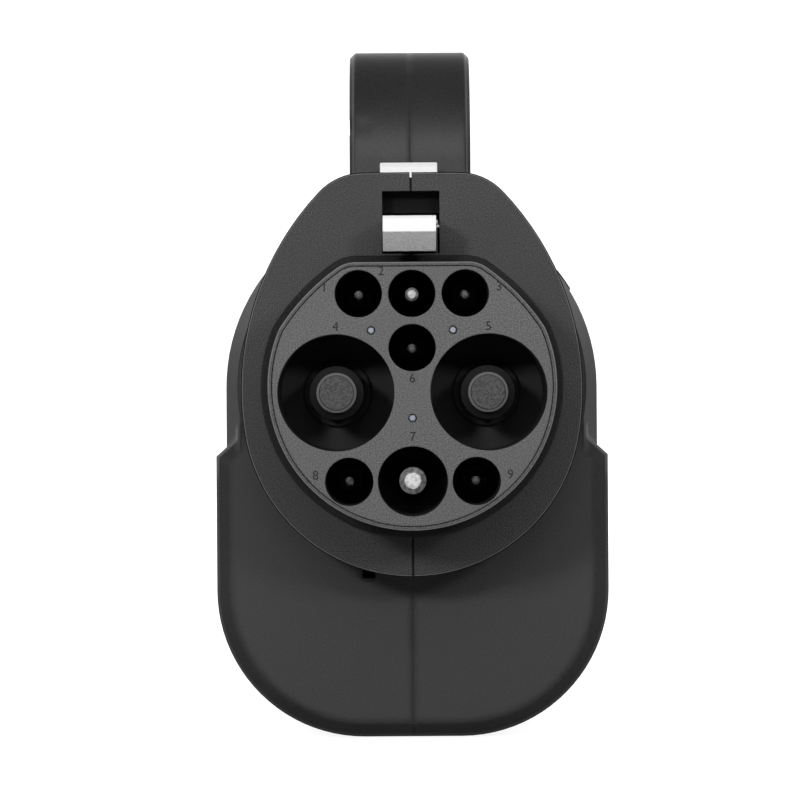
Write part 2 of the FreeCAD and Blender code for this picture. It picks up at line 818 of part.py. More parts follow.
# Outer forms of the housing
nothing = measure(0.0)
flange_plate, flange_feature = egg_prism("flange_plate", flange_front, flange_rear, nothing, flange_corner)
bevel_edges(flange_plate, flange_feature, flange_edge, rear_edges(flange_front.value))
neck = neck_form("neck", flange_rear, groove_depth)
barrel = barrel_form("barrel", nothing, barrel_front, barrel_rear)
bevel_edges(barrel, barrel.Tip, barrel_edge, rear_edges(barrel_rear.value))
lower, lower_feature = lower_form("lower", nothing, foot_proud)
ledge_top = (axis_height - ledge_drop).value + 12.0
lower_ends = [lower_front.value, lower_rear.value]
bevel_edges(
    lower,
    lower_feature,
    lower_edge,
    lambda edge, middle: min(abs(middle.y - y) for y in lower_ends) < 0.01 and middle.z < ledge_top,
)
handle, handle_feature = handle_form("handle", nothing)
handle_half = 0.5 * handle_width.value
handle_foot = (axis_height + barrel_radius - lower_edge).value
bevel_edges(
    handle,
    handle_feature,
    handle_edge,
    lambda edge, middle: abs(abs(middle.x) - handle_half) < 0.01 and middle.z > handle_foot,
)
snout = socket_prism(
    "snout", lower_rear - wall, snout_rear, socket_groove + socket_wall + seat_gap + snout_wall
)
bevel_edges(snout, snout.Tip, flange_edge, rear_edges(snout_rear.value))
sides = barrel_sides("sides", axis_height - ledge_drop - wall, axis_height)
housing_form = join("housing_form", flange_plate, neck, barrel, sides, lower, handle, snout)

# The hollow inside, one wall in from the outer forms
hollow = join(
    "hollow",
    neck_form("neck_hollow", flange_rear, groove_depth + wall),
    barrel_form("barrel_hollow", wall, barrel_front + wall, barrel_rear - wall),
    lower_form("lower_hollow", wall, foot_proud)[0],
    handle_form("handle_hollow", wall)[0],
)
bare_shell = trim("bare_shell", housing_form, hollow)

# Places of the screw posts as (distance along Y, height)
hollow_floor = foot_proud + wall
handle_top = axis_height + barrel_radius + handle_rise
leg_front_y = lower_front + handle_setback + 0.5 * handle_strap
leg_rear_y = lower_rear - handle_tail - 0.5 * handle_strap
leg_screw_z = axis_height + barrel_radius + leg_screw_rise
post_in = wall + post_overlap
front_post_in = post_in + lower_edge
screw_places = [
    (lower_front + front_post_in, foot_proud + front_screw_height),
    (lower_rear - post_in, foot_proud + rear_screw_height),
    (leg_front_y, leg_screw_z),
    (leg_rear_y, leg_screw_z),
    (side_screw_y, axis_height - side_screw_drop),
]

# Ribs, posts and rails inside the shell
far = 2 * lower_half_width
collar_rear = flange_rear + collar_thickness
bulkhead = straight_box(
    "bulkhead", far, (collar_rear, collar_rear + rib_thickness), (nothing, axis_height + flange_top)
)
bulkhead_window = nose_prism(
    "bulkhead_window", flange_rear, collar_rear + 2 * rib_thickness, -sleeve_wall
)
socket_bulkhead_rear = lower_rear - wall - collar_thickness
socket_bulkhead = straight_box(
    "socket_bulkhead",
    far,
    (socket_bulkhead_rear - rib_thickness, socket_bulkhead_rear),
    (nothing, axis_height + barrel_radius),
)
shelf = straight_box(
    "latch_shelf",
    far,
    (collar_rear + rib_thickness + wall, pad_rear + plunger_gap + solenoid_length + wall),
    (shelf_top - shelf_thickness, shelf_top),
)
pivot_bosses = [
    rod("boss_left", boss_radius, far, -far - 0.5 * hook_width - cheek_gap + lever_x, pivot_y, pivot_z, "x"),
    rod("boss_right", boss_radius, far, 0.5 * hook_width + cheek_gap + lever_x, pivot_y, pivot_z, "x"),
]
posts = [
    rod(f"post_{index}", post_radius, 2 * far, -far, y, z, "x") for index, (y, z) in enumerate(screw_places)
]
board_front = lower_front + wall + board_front_gap
board_rear = board_front + board_length
board_width = 2 * (lower_half_width - wall - board_side_gap)
rails = [
    block(
        f"rail_{side}",
        (inner, inner + rail_width + wall),
        (board_front, board_rear),
        (board_height - wall, board_height),
    )
    for side, inner in (("left", -0.5 * board_width - wall), ("right", 0.5 * board_width - rail_width))
]
cell_front = board_front + cell_setback
cell_cradles = [
    straight_box(
        f"cell_cradle_{index}",
        2 * cell_radius,
        (cell_front + share * cell_length, cell_front + share * cell_length + rib_thickness),
        (foot_proud, hollow_floor + cell_lift),
    )
    for index, share in enumerate((front_cradle_share, rear_cradle_share))
]


def slant(thing):
    """Leans an upright piece over so that it points out of the right flank at the button's angle."""
    thing.Placement = FreeCAD.Placement(FreeCAD.Vector(), FreeCAD.Rotation(FreeCAD.Vector(0, 1, 0), 45))
    bind(thing, "Placement.Rotation.Angle", 90 - button_angle)
    return thing


def along_button(distance):
    """The point on the button's axis at one distance outside the barrel."""
    reach = barrel_radius + distance
    return (
        reach * cosine(button_angle),
        lower_front + button_setback,
        axis_height + reach * sine(button_angle),
    )


button_back = 2 * wall
switch_front = -button_back - button_travel - switch_gap
switch_back = switch_front - switch_size
switch_plate = new_body("switch_plate")
switch_plate_sketch = new_sketch(switch_plate, "XZ_Plane")
plate_corners = [
    (-barrel_radius, switch_back - rib_thickness),
    (barrel_radius, switch_back - rib_thickness),
    (barrel_radius, switch_back),
    (-barrel_radius, switch_back),
]
draw_polygon(switch_plate_sketch, plate_corners)
pad(switch_plate, switch_plate_sketch, 2 * switch_size, symmetric=True)
place(slant(switch_plate), *along_button(nothing))
inner_parts = overlap(
    "inner_parts",
    housing_form,
    join(
        "inner_forms",
        trim("bulkhead_ring", bulkhead, bulkhead_window),
        socket_bulkhead,
        shelf,
        *pivot_bosses,
        *posts,
        *rails,
        *cell_cradles,
        switch_plate,
    ),
)
ribbed_shell = join("ribbed_shell", bare_shell, inner_parts)

# Openings through the shell
socket_grow = socket_groove + socket_wall
drain_top = axis_height - barrel_front_radius - drain_gap
nose_hole = nose_prism("nose_hole", flange_front - 1, flange_rear + 1, seat_gap)
window = block(
    "window",
    (-0.5 * window_width, 0.5 * window_width),
    (flange_front - 1, collar_rear),
    (window_floor, window_roof),
)
arm_gap = block(
    "arm_gap",
    (-0.5 * window_width, 0.5 * window_width),
    (collar_rear - 1, collar_rear + rib_thickness + 1),
    (window_floor, pivot_z + eye_radius + slot_gap),
)
pad_slot = block(
    "pad_slot",
    (lever_x - 0.5 * pad_width - slot_gap, lever_x + 0.5 * pad_width + slot_gap),
    (pad_front - slot_gap, pad_rear + pad_swing),
    (arm_high, pad_top + 1),
)
notch = straight_box(
    "notch",
    0.5 * notch_width,
    (flange_front - 1, flange_rear + 1),
    (axis_height + flange_top - notch_depth, axis_height + flange_top + 1),
)
socket_hole = socket_prism("socket_hole", cup_front - 1, snout_rear + 1, socket_grow + seat_gap)
drain = block(
    "drain",
    (-drain_side - 0.5 * drain_width, -drain_side + 0.5 * drain_width),
    (lower_front - 1, lower_front + 2 * wall),
    (drain_top - drain_height, drain_top),
)
foot_recess = straight_box(
    "foot_recess",
    0.5 * foot_pad_width + seat_gap,
    (-0.5 * foot_pad_length - seat_gap, 0.5 * foot_pad_length + seat_gap),
    (-1, foot_pad_thickness),
)
button_hole = place(
    slant(rod("button_hole", button_radius + button_clearance, 4 * wall, 0, 0, 0, "z")),
    *along_button(-3 * wall),
)
pivot_hole = rod(
    "pivot_hole", pivot_radius + pin_press, 3 * hook_width, -1.5 * hook_width, pivot_y, pivot_z, "x"
)
screw_holes = []
for index, (y, z) in enumerate(screw_places):
    screw_holes.append(
        rod(f"screw_hole_{index}", screw_radius + screw_clearance, screw_reach + 1, -screw_seat, y, z, "x")
    )
    screw_holes.append(rod(f"screw_sink_{index}", sink_radius, far, -screw_seat - far, y, z, "x"))
housing = trim(
    "housing",
    ribbed_shell,
    nose_hole,
    window,
    arm_gap,
    pad_slot,
    notch,
    socket_hole,
    drain,
    foot_recess,
    button_hole,
    pivot_hole,
    *screw_holes,
)
reach_y = (face_y, snout_rear + 1)
reach_z = (-1, handle_top + 1)
node(overlap("left_half", housing, block("left_side", (-far, 0), reach_y, reach_z)), "housing_left")
node(overlap("right_half", housing, block("right_side", (0, far), reach_y, reach_z)), "housing_right")

plate_front = face_y + insert_length
plate_rear = plate_front + plate_thickness
tail_end = plate_rear + pin_tail
dc_z = axis_height - dc_drop
lower_row_z = axis_height - pe_drop
upper_row_z = axis_height + signal_rise
check_z = axis_height + check_rise

# Each contact: name, x, z, well radius, pin radius, depth of its tip
contacts = [
    ("dc_plus", -0.5 * dc_spacing, dc_z, dc_well_radius, dc_pin_radius, dc_cap_depth + dc_cap_proud),
    ("dc_minus", 0.5 * dc_spacing, dc_z, dc_well_radius, dc_pin_radius, dc_cap_depth + dc_cap_proud),
    ("pe", nothing, lower_row_z, pe_well_radius, pe_pin_radius, pe_pin_depth),
    ("a_minus", -0.5 * aux_spacing, lower_row_z, aux_well_radius, small_pin_radius, small_pin_depth),
    ("a_plus", 0.5 * aux_spacing, lower_row_z, aux_well_radius, small_pin_radius, small_pin_depth),
    ("s_plus", -0.5 * signal_spacing, upper_row_z, signal_well_radius, small_pin_radius, small_pin_depth),
    ("s_minus", 0.5 * signal_spacing, upper_row_z, signal_well_radius, small_pin_radius, small_pin_depth),
    ("cc2", nothing, upper_row_z, signal_well_radius, small_pin_radius, long_pin_depth),
    ("cc1", nothing, check_z, signal_well_radius, small_pin_radius, small_pin_depth),
]
rivet_places = [
    (-0.5 * rivet_spacing, axis_height + rivet_rise),
    (0.5 * rivet_spacing, axis_height + rivet_rise),
    (nothing, axis_height - rivet_drop),
]

# The plug nose: sleeve with its collar behind the flange, face block, pin plate, ring at the root
sleeve = nose_prism("sleeve", face_y - rim_proud, collar_rear, nothing)
bevel_edges(sleeve, sleeve.Tip, face_edge, rear_edges((face_y - rim_proud).value))
sleeve_hollow = nose_prism("sleeve_hollow", face_y - 1, collar_rear + 1, -sleeve_wall)
collar = nose_prism("collar", flange_rear, collar_rear, collar_width)
node(trim("sleeve_and_collar", join("sleeve_blank", sleeve, collar), sleeve_hollow), "plug_shell")

block_inset = -sleeve_wall - insert_gap
face_block = nose_prism("face_block", face_y, plate_front, block_inset)
wells = [
    rod(f"{name}_well", well_radius, insert_length + 2, x, face_y - 1, z)
    for name, x, z, well_radius, pin_radius, depth in contacts
]
rivet_holes = [
    rod(f"rivet_hole_{index}", rivet_radius + pin_seat_gap, rivet_length + 1, x, face_y - 1, z)
    for index, (x, z) in enumerate(rivet_places)
]
node(trim("drilled_block", face_block, *wells, *rivet_holes), "plug_insert")

rivets = []
for index, (x, z) in enumerate(rivet_places):
    profile = [
        (0, 0),
        (rivet_radius - rivet_edge, 0),
        (rivet_radius, rivet_edge),
        (rivet_radius, rivet_length),
        (0, rivet_length),
    ]
    rivets.append(turned(f"rivet_{index}", profile, x, face_y, z))
node(join("rivet_group", *rivets), "face_rivets")

pin_plate = nose_prism("pin_plate", plate_front, plate_rear, block_inset)
pin_seats = [
    rod(f"{name}_seat", pin_radius - pin_step + pin_seat_gap, plate_thickness + 2, x, plate_front - 1, z)
    for name, x, z, well_radius, pin_radius, depth in contacts
]
node(trim("drilled_plate", pin_plate, *pin_seats), "contact_plate")

seal_outer = nose_prism("seal_outer", flange_front - seal_depth, flange_front, seal_width)
bevel_edges(seal_outer, seal_outer.Tip, face_edge, rear_edges((flange_front - seal_depth).value))
seal_inner = nose_prism("seal_inner", flange_front - seal_depth - 1, flange_front + 1, seat_gap)
node(trim("seal_ring", seal_outer, seal_inner), "plug_seal")


def contact_pin(name, x, z, pin_radius, depth, tip_chamfer, bore=None):
    """A turned pin: chamfered tip, shaft, collar on the front of the plate and a thinner shank through it."""
    collar_front = insert_length - pin_collar_length
    shank_end = insert_length + plate_thickness + pin_tail
    profile = [
        (pin_radius - tip_chamfer, depth),
        (pin_radius, depth + tip_chamfer),
        (pin_radius, collar_front),
        (pin_radius + pin_collar, collar_front),
        (pin_radius + pin_collar, insert_length),
        (pin_radius - pin_step, insert_length),
        (pin_radius - pin_step, shank_end),
        (0, shank_end),
    ]
    if bore is None:
        profile.append((0, depth))
    else:
        bore_radius, bore_end = bore
        profile += [(0, bore_end), (bore_radius, bore_end), (bore_radius, depth)]
    return node(turned(f"{name}_pin_turned", profile, x, face_y, z), f"{name}_pin")


for name, x, z, well_radius, pin_radius, depth in contacts:
    if name.startswith("dc"):
        bore = (cap_stem_radius + pin_seat_gap, depth + cap_stem_length + seat_gap)
        contact_pin(name, x, z, pin_radius, depth, pin_radius - dc_cap_radius, bore)
        cap_profile = [
            (0, dc_cap_depth),
            (dc_cap_radius - cap_edge, dc_cap_depth),
            (dc_cap_radius, dc_cap_depth + cap_edge),
            (dc_cap_radius, depth),
            (cap_stem_radius, depth),
            (cap_stem_radius, depth + cap_stem_length),
            (0, depth + cap_stem_length),
        ]
        node(turned(f"{name}_cap_turned", cap_profile, x, face_y, z), f"{name}_cap")
    else:
        contact_pin(name, x, z, pin_radius, depth, tip_share * pin_radius)

# The latch: one cast lever on a cross pin, a coil spring below its pad
hook_high = window_floor + hook_face + tooth_drop
hook_rear = latch_front + hook_depth
lever_half = 0.5 * hook_width
arm_profile = [
    (latch_front + hook_edge, hook_high),
    (latch_front, hook_high - hook_edge),
    (latch_front, hook_high - hook_face),
    (hook_rear - tooth_width, hook_high - hook_face - tooth_drop),
    (hook_rear, hook_high - hook_face - tooth_drop),
    (hook_rear + hook_edge, arm_low),
    (pad_rear - tail_setback, arm_low),
    (pad_rear - tail_setback, arm_high + pad_root),
    (pad_front, pivot_z + eye_radius),
    (pivot_y - eye_radius, pivot_z + eye_radius),
    (flange_front, hook_high),
]
lever_arm = side_prism("lever_arm", arm_profile, lever_x - lever_half, lever_x + lever_half)
pad_profile = [
    (pad_front, pad_top - pad_edge),
    (pad_front + pad_edge, pad_top),
    (pad_rear - pad_edge, pad_top),
    (pad_rear, pad_top - pad_edge),
    (pad_rear, arm_high),
    (pad_rear - pad_root, arm_high - pad_root),
    (pad_front, arm_high - pad_root),
]
lever_pad = side_prism("lever_pad", pad_profile, lever_x - 0.5 * pad_width, lever_x + 0.5 * pad_width)
pad_edges = [(lever_x - 0.5 * pad_width).value, (lever_x + 0.5 * pad_width).value]
round_edges(
    lever_pad,
    lever_pad.Tip,
    face_edge,
    lambda edge, middle: min(abs(middle.x - x) for x in pad_edges) < 0.01 and middle.z > arm_high.value,
)
bore_radius = pivot_radius + pivot_clearance
lever_bore = rod("lever_bore", bore_radius, 2 * hook_width, -hook_width, pivot_y, pivot_z, "x")
node(trim("lever", join("lever_blank", lever_arm, lever_pad), lever_bore), "latch_lever")

pin_half = lever_half + cheek_gap + boss_radius
node(rod("cross_pin", pivot_radius, 2 * pin_half, lever_x - pin_half, pivot_y, pivot_z, "x"), "latch_pin")

spring_y = pad_front + spring_setback
spring_low = shelf_top + wire_radius
coil = doc.addObject("Part::Helix", "spring_line")
bind(coil, "Pitch", (spring_space - 2 * wire_radius) / coil_turns)
bind(coil, "Height", spring_space - 2 * wire_radius)
bind(coil, "Radius", coil_radius)
wire_section = doc.addObject("Part::RegularPolygon", "wire_section")
wire_section.Polygon = 4
bind(wire_section, "Circumradius", wire_radius)
wire_section.Placement = FreeCAD.Placement(FreeCAD.Vector(), FreeCAD.Rotation(FreeCAD.Vector(1, 0, 0), 90))
place(wire_section, coil_radius, 0, 0)
wire = doc.addObject("Part::Sweep", "spring_wire")
wire.Sections = [wire_section]
doc.recompute()
wire.Spine = (coil, [f"Edge{index + 1}" for index in range(len(coil.Shape.Edges))])
wire.Solid = True
wire.Frenet = True
place(wire, lever_x, spring_y, spring_low)
node(wire, "latch_spring")

# The lock: a coil block on the shelf, whose plunger runs forward below the lever's tail
solenoid_front = pad_rear + pad_swing + plunger_gap
solenoid_rear = solenoid_front + solenoid_length
plunger_z = arm_low - plunger_radius - tail_travel
plunger_bore = rod(
    "plunger_bore",
    plunger_radius + plunger_clearance,
    solenoid_length,
    lever_x,
    solenoid_front - 1,
    plunger_z,
)
lock_block = block(
    "lock_block",
    (lever_x - 0.5 * solenoid_width, lever_x + 0.5 * solenoid_width),
    (solenoid_front, solenoid_rear),
    (shelf_top, shelf_top + solenoid_height),
)
node(trim("lock_body", lock_block, plunger_bore), "lock_solenoid")
plunger_tip = pad_rear + plunger_overlap
plunger_profile = [
    (0, plunger_tip),
    (plunger_radius - plunger_edge, plunger_tip),
    (plunger_radius, plunger_tip + plunger_edge),
    (plunger_radius, solenoid_rear - plunger_seat),
    (0, solenoid_rear - plunger_seat),
]
node(turned("plunger_turned", plunger_profile, lever_x, 0, plunger_z), "lock_plunger")

# The socket: a cup with a collar behind the rear wall, a block with wells in it, a flat ring in its groove
block_rear = cup_rear - socket_recess
cup = socket_prism("cup", cup_front, cup_rear, socket_grow)
cup_collar = socket_prism(
    "cup_collar", socket_bulkhead_rear, lower_rear - wall, socket_grow + collar_width
)
cup_hollow = socket_prism("cup_hollow", cup_floor, cup_rear + 1, socket_groove)
dc_socket_side = 0.5 * dc_socket_spacing
dc_socket_z = axis_height - dc_socket_drop
# Each socket contact: name, x, z, well radius, pin radius
socket_contacts = [
    ("inlet_dc_plus", -dc_socket_side, dc_socket_z, dc_socket_well_radius, dc_socket_pin_radius),
    ("inlet_dc_minus", dc_socket_side, dc_socket_z, dc_socket_well_radius, dc_socket_pin_radius),
    ("inlet_pe", nothing, axis_height, ac_well_radius, pe_pin_radius),
    ("inlet_cp", -control_side, axis_height + control_rise, control_well_radius, small_pin_radius),
    ("inlet_pp", control_side, axis_height + control_rise, control_well_radius, small_pin_radius),
]
empty_wells = [
    ("inlet_n", -ac_side, axis_height, ac_well_radius, nothing),
    ("inlet_l1", ac_side, axis_height, ac_well_radius, nothing),
    ("inlet_l2", -ac_low_side, axis_height - ac_low_drop, ac_well_radius, nothing),
    ("inlet_l3", ac_low_side, axis_height - ac_low_drop, ac_well_radius, nothing),
]
cup_pin_holes = [
    rod(f"{name}_hole", radius - pin_step + pin_seat_gap, socket_floor + 2, x, cup_front - 1, z)
    for name, x, z, well_radius, radius in socket_contacts
]
node(trim("socket_cup", join("cup_blank", cup, cup_collar), cup_hollow, *cup_pin_holes), "inlet_shell")

socket_block = socket_prism("socket_block", cup_floor, block_rear, nothing)
bevel_edges(socket_block, socket_block.Tip, cap_edge, rear_edges(block_rear.value))
socket_wells = [
    rod(f"{name}_well", well_radius, block_rear - cup_floor + 2, x, cup_floor - 1, z)
    for name, x, z, well_radius, pin_radius in socket_contacts + empty_wells
]
node(trim("drilled_socket_block", socket_block, *socket_wells), "inlet_block")

ring_outer = socket_prism(
    "ring_outer", cup_floor, cup_floor + socket_seal_thickness, socket_groove - socket_seal_gap
)
ring_inner = socket_prism(
    "ring_inner", cup_floor - 1, cup_floor + socket_seal_thickness + 1, socket_seal_gap
)
node(trim("socket_ring", ring_outer, ring_inner), "inlet_seal")

for name, x, z, well_radius, radius in socket_contacts:
    tip_y = block_rear - socket_pin_recess
    tail_y = cup_front - socket_pin_tail
    tip_chamfer = tip_share * radius
    profile = [
        (0, tail_y),
        (radius - pin_step, tail_y),
        (radius - pin_step, cup_floor),
        (radius + pin_collar, cup_floor),
        (radius + pin_collar, cup_floor + pin_collar_length),
        (radius, cup_floor + pin_collar_length),
        (radius, tip_y - tip_chamfer),
        (radius - tip_chamfer, tip_y),
        (0, tip_y),
    ]
    node(turned(f"{name}_turned", profile, x, 0, z), f"{name}_pin")

# Copper bars between the power pins: an upright tab on each pin's tail and a level run between them
bar_middle = 0.25 * dc_spacing + 0.25 * dc_socket_spacing
bar_rear = cup_front - socket_pin_tail
bar_level = dc_z - bar_drop
bar_foot = dc_socket_z - bar_lap * dc_socket_pin_radius
bar_profile = [
    (tail_end, dc_z + dc_pin_radius),
    (tail_end, bar_level),
    (bar_rear - bar_thickness, bar_level),
    (bar_rear - bar_thickness, bar_foot),
    (bar_rear, bar_foot),
    (bar_rear, bar_level + bar_thickness),
    (tail_end + bar_thickness, bar_level + bar_thickness),
    (tail_end + bar_thickness, dc_z + dc_pin_radius),
]
for name, side in (("busbar_plus", -1), ("busbar_minus", 1)):
    middle = side * bar_middle
    bar = side_prism(name + "_bent", bar_profile, middle - 0.5 * bar_width, middle + 0.5 * bar_width)
    node(bar, name)

# The protocol board on its rails, the parts on it, and two cells on the floor below
board_top = board_height + board_thickness
board = straight_box("board", 0.5 * board_width, (board_front, board_rear), (board_height, board_top))
node(board, "circuit_board")
board_parts = [
    block(
        label,
        (left * board_width, right * board_width),
        (board_front + front * board_length, board_front + rear * board_length),
        (board_top, board_top + height),
    )
    for label, left, right, front, rear, height in (
        ("relay", -0.38, -0.13, 0.11, 0.35, relay_height),
        ("converter", 0.05, 0.38, 0.16, 0.40, can_height),
        ("processor", -0.10, 0.08, 0.54, 0.73, chip_height),
    )
]
for index, across in enumerate((-0.28, 0.26)):
    can_x = across * board_width
    can_y = board_front + can_share * board_length
    board_parts.append(rod(f"can_{index}", can_radius, can_height, can_x, can_y, board_top, "z"))
node(join("board_part_group", *board_parts), "board_parts")

cell_z = hollow_floor + cell_lift + cell_radius
cells = []
for index, side in enumerate((-1, 1)):
    cell_x = side * (cell_radius + 0.5 * cell_gap)
    profile = [
        (0, 0),
        (cell_radius, 0),
        (cell_radius, cell_length),
        (nub_radius, cell_length),
        (nub_radius, cell_length + nub_length),
        (0, cell_length + nub_length),
    ]
    cells.append(turned(f"cell_{index}", profile, cell_x, cell_front, cell_z))
node(join("cell_group", *cells), "battery_cells")

# The push button on the right flank and the switch that it works
button_step = -wall - button_rim - switch_gap
button_profile = [
    (0, -button_back),
    (button_radius + button_rim, -button_back),
    (button_radius + button_rim, button_step),
    (button_radius, button_step),
    (button_radius, button_proud - cap_edge),
    (button_radius - cap_edge, button_proud),
    (0, button_proud),
]


def turned_upright(label, profile):
    """A turned piece on an upright axis through its own origin."""
    body = new_body(label)
    sketch = new_sketch(body, "XZ_Plane")
    draw_polygon(sketch, profile)
    feature = body.newObject("PartDesign::Revolution", label + "_turn")
    feature.Profile = sketch
    feature.ReferenceAxis = (sketch, ["V_Axis"])
    feature.Angle = 360
    body.Tip = feature
    return body


button = place(slant(turned_upright("button_turned", button_profile)), *along_button(nothing))
node(button, "side_button")
switch_case = switch_front - switch_stem
switch_profile = [
    (0, switch_back),
    (switch_size, switch_back),
    (switch_size, switch_case),
    (switch_stem, switch_case),
    (switch_stem, switch_front),
    (0, switch_front),
]
switch = place(slant(turned_upright("switch_turned", switch_profile)), *along_button(nothing))
node(switch, "button_switch")

# Screws through the posts, heads at the bottom of their sinks in the left half
screws = []
for index, (y, z) in enumerate(screw_places):
    shank = rod(f"shank_{index}", screw_radius, screw_reach, -screw_seat, y, z, "x")
    head_start = -screw_seat - screw_head_height
    head = rod(f"head_{index}", screw_head_radius, screw_head_height, head_start, y, z, "x")
    screws.append(join(f"screw_{index}", shank, head))
node(join("screw_group", *screws), "housing_screws")

# The foot the adapter stands on
foot = straight_box(
    "foot_block",
    0.5 * foot_pad_width,
    (-0.5 * foot_pad_length, 0.5 * foot_pad_length),
    (nothing, foot_pad_thickness),
)
node(foot, "foot_pad")


def check_document():
    """Stops with the names of the objects that failed, if any did."""
    doc.recompute()
    failed = [thing.Name for thing in doc.Objects if "Invalid" in thing.State or "Error" in thing.State]
    if failed:
        raise RuntimeError("failed: " + ", ".join(failed))
    for piece in nodes:
        if piece.Shape.isNull() or not piece.Shape.isValid():
            raise RuntimeError("not a valid solid: " + piece.Label)


check_document()
for piece in nodes:
    piece.Shape.exportStep(f"parts/{piece.Label}.step")
    print(piece.Label, len(piece.Shape.Solids), round(piece.Shape.Volume / 1000.0, 3), "cm3")
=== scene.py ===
import math

import bmesh
import bpy
import numpy as np
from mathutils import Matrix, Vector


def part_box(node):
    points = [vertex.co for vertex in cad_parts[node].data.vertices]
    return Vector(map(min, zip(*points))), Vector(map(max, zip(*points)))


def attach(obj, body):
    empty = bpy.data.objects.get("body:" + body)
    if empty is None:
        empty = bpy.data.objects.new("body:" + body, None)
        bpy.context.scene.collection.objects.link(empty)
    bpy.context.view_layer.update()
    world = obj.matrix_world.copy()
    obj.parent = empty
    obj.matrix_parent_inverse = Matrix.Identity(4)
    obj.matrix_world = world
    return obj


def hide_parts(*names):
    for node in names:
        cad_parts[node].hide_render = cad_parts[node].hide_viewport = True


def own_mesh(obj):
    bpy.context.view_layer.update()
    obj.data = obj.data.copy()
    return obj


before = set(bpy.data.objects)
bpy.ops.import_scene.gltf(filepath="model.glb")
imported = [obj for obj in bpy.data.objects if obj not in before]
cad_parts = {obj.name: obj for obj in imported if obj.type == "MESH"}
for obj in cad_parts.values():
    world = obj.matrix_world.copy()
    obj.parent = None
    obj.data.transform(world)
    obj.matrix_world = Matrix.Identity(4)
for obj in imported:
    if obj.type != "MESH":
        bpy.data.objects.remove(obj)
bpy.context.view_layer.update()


# The camera. It stands a metre in front of the plug's face, level with the nose axis and a little to its
# left, and looks straight back along the adapter.
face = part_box("plug_insert")
camera_distance = 1.0
camera_x = -0.00274
camera_z = 0.0789
width_at_face = 0.1756
camera_lean = 0.38

camera_data = bpy.data.cameras.new("camera")
camera_data.sensor_width = 36.0
camera_data.lens = camera_data.sensor_width * camera_distance / width_at_face
camera_data.clip_start = 0.05
camera_data.clip_end = 20.0
camera = bpy.data.objects.new("camera", camera_data)
camera.location = (camera_x, face[0].y - camera_distance, camera_z)
camera.rotation_euler = (math.radians(90), math.radians(camera_lean), 0)
bpy.context.scene.collection.objects.link(camera)
bpy.context.scene.camera = camera
bpy.context.scene.view_settings.view_transform = "Standard"


# The studio. A sweep of white paper runs from under the adapter up behind it, and soft lamps stand around it
# in a dim room. The paper shows white to the camera and still takes the adapter's shadow.
class Wire:
    """One output of a shader tree. Arithmetic on it adds Math nodes to the tree."""

    def __init__(self, recipe, socket):
        self.recipe = recipe
        self.socket = socket

    def math(self, operation, *values):
        return self.recipe.add("ShaderNodeMath", {"operation": operation}, dict(enumerate(values)))

    def __add__(self, other):
        return self.math("ADD", self, other)

    def __radd__(self, other):
        return self.math("ADD", other, self)

    def __sub__(self, other):
        return self.math("SUBTRACT", self, other)

    def __rsub__(self, other):
        return self.math("SUBTRACT", other, self)

    def __mul__(self, other):
        return self.math("MULTIPLY", self, other)

    def __rmul__(self, other):
        return self.math("MULTIPLY", other, self)

    def __abs__(self):
        return self.math("ABSOLUTE", self)

    def __or__(self, other):
        """The larger of two masks."""
        return self.math("MAXIMUM", self, other)

    def fade(self, start, end):
        """0 up to start, 1 from end on, smooth between. Start may be above end."""
        low, high = min(start, end), max(start, end)
        first, last = (0.0, 1.0) if start < end else (1.0, 0.0)
        ends = {"Value": self, "From Min": low, "From Max": high, "To Min": first, "To Max": last}
        return self.recipe.add("ShaderNodeMapRange", {"interpolation_type": "SMOOTHSTEP"}, ends)

    def fade_past(self, origin, start, end):
        """As fade, with the start and the end counted from an origin."""
        return self.fade(origin + start, origin + end)


class Recipe:
    """A material, or the world, as a tree of shader nodes."""

    def __init__(self, owner):
        owner.use_nodes = True
        self.owner = owner
        self.tree = owner.node_tree
        self.tree.nodes.clear()

    def add(self, kind, settings={}, sockets={}, output=0):
        """Adds a node, its settings first and then the values or wires of its sockets. Gives one output."""
        node = self.tree.nodes.new(kind)
        for name, value in settings.items():
            setattr(node, name, value)
        for key, value in sockets.items():
            if isinstance(value, Wire):
                self.tree.links.new(value.socket, node.inputs[key])
            else:
                node.inputs[key].default_value = value
        return Wire(self, node.outputs[output]) if node.outputs else None

    def other(self, wire, output):
        """Another output of the node that a wire comes from."""
        return Wire(self, wire.socket.node.outputs[output])

    def axes(self, vector):
        """The three parts of a vector."""
        parts = self.add("ShaderNodeSeparateXYZ", {}, {0: vector})
        return parts, self.other(parts, 1), self.other(parts, 2)

    def blend(self, share, first, second):
        """The first colour where the share is 0, the second where it is 1."""
        return self.add("ShaderNodeMix", {"data_type": "RGBA"}, {0: share, 6: first, 7: second}, 2)

    def turn(self, share, first, second):
        """The first direction where the share is 0, the second where it is 1."""
        return self.add("ShaderNodeMix", {"data_type": "VECTOR"}, {0: share, 4: first, 5: second}, 1)

    def noise(self, place, size, detail):
        """Cloudy values about 0.5 whose lumps are as large as the size, in metres."""
        return self.add("ShaderNodeTexNoise", {}, {"Vector": place, "Scale": 1 / size, "Detail": detail})


def tone(red, green, blue):
    """A linear colour from sRGB levels of 0 to 255."""
    share = np.array([red, green, blue]) / 255
    linear = np.where(share <= 0.04045, share / 12.92, ((share + 0.055) / 1.055) ** 2.4)
    return (*linear.tolist(), 1.0)


def grey(level):
    """A grey of one sRGB level."""
    return tone(level, level, level)


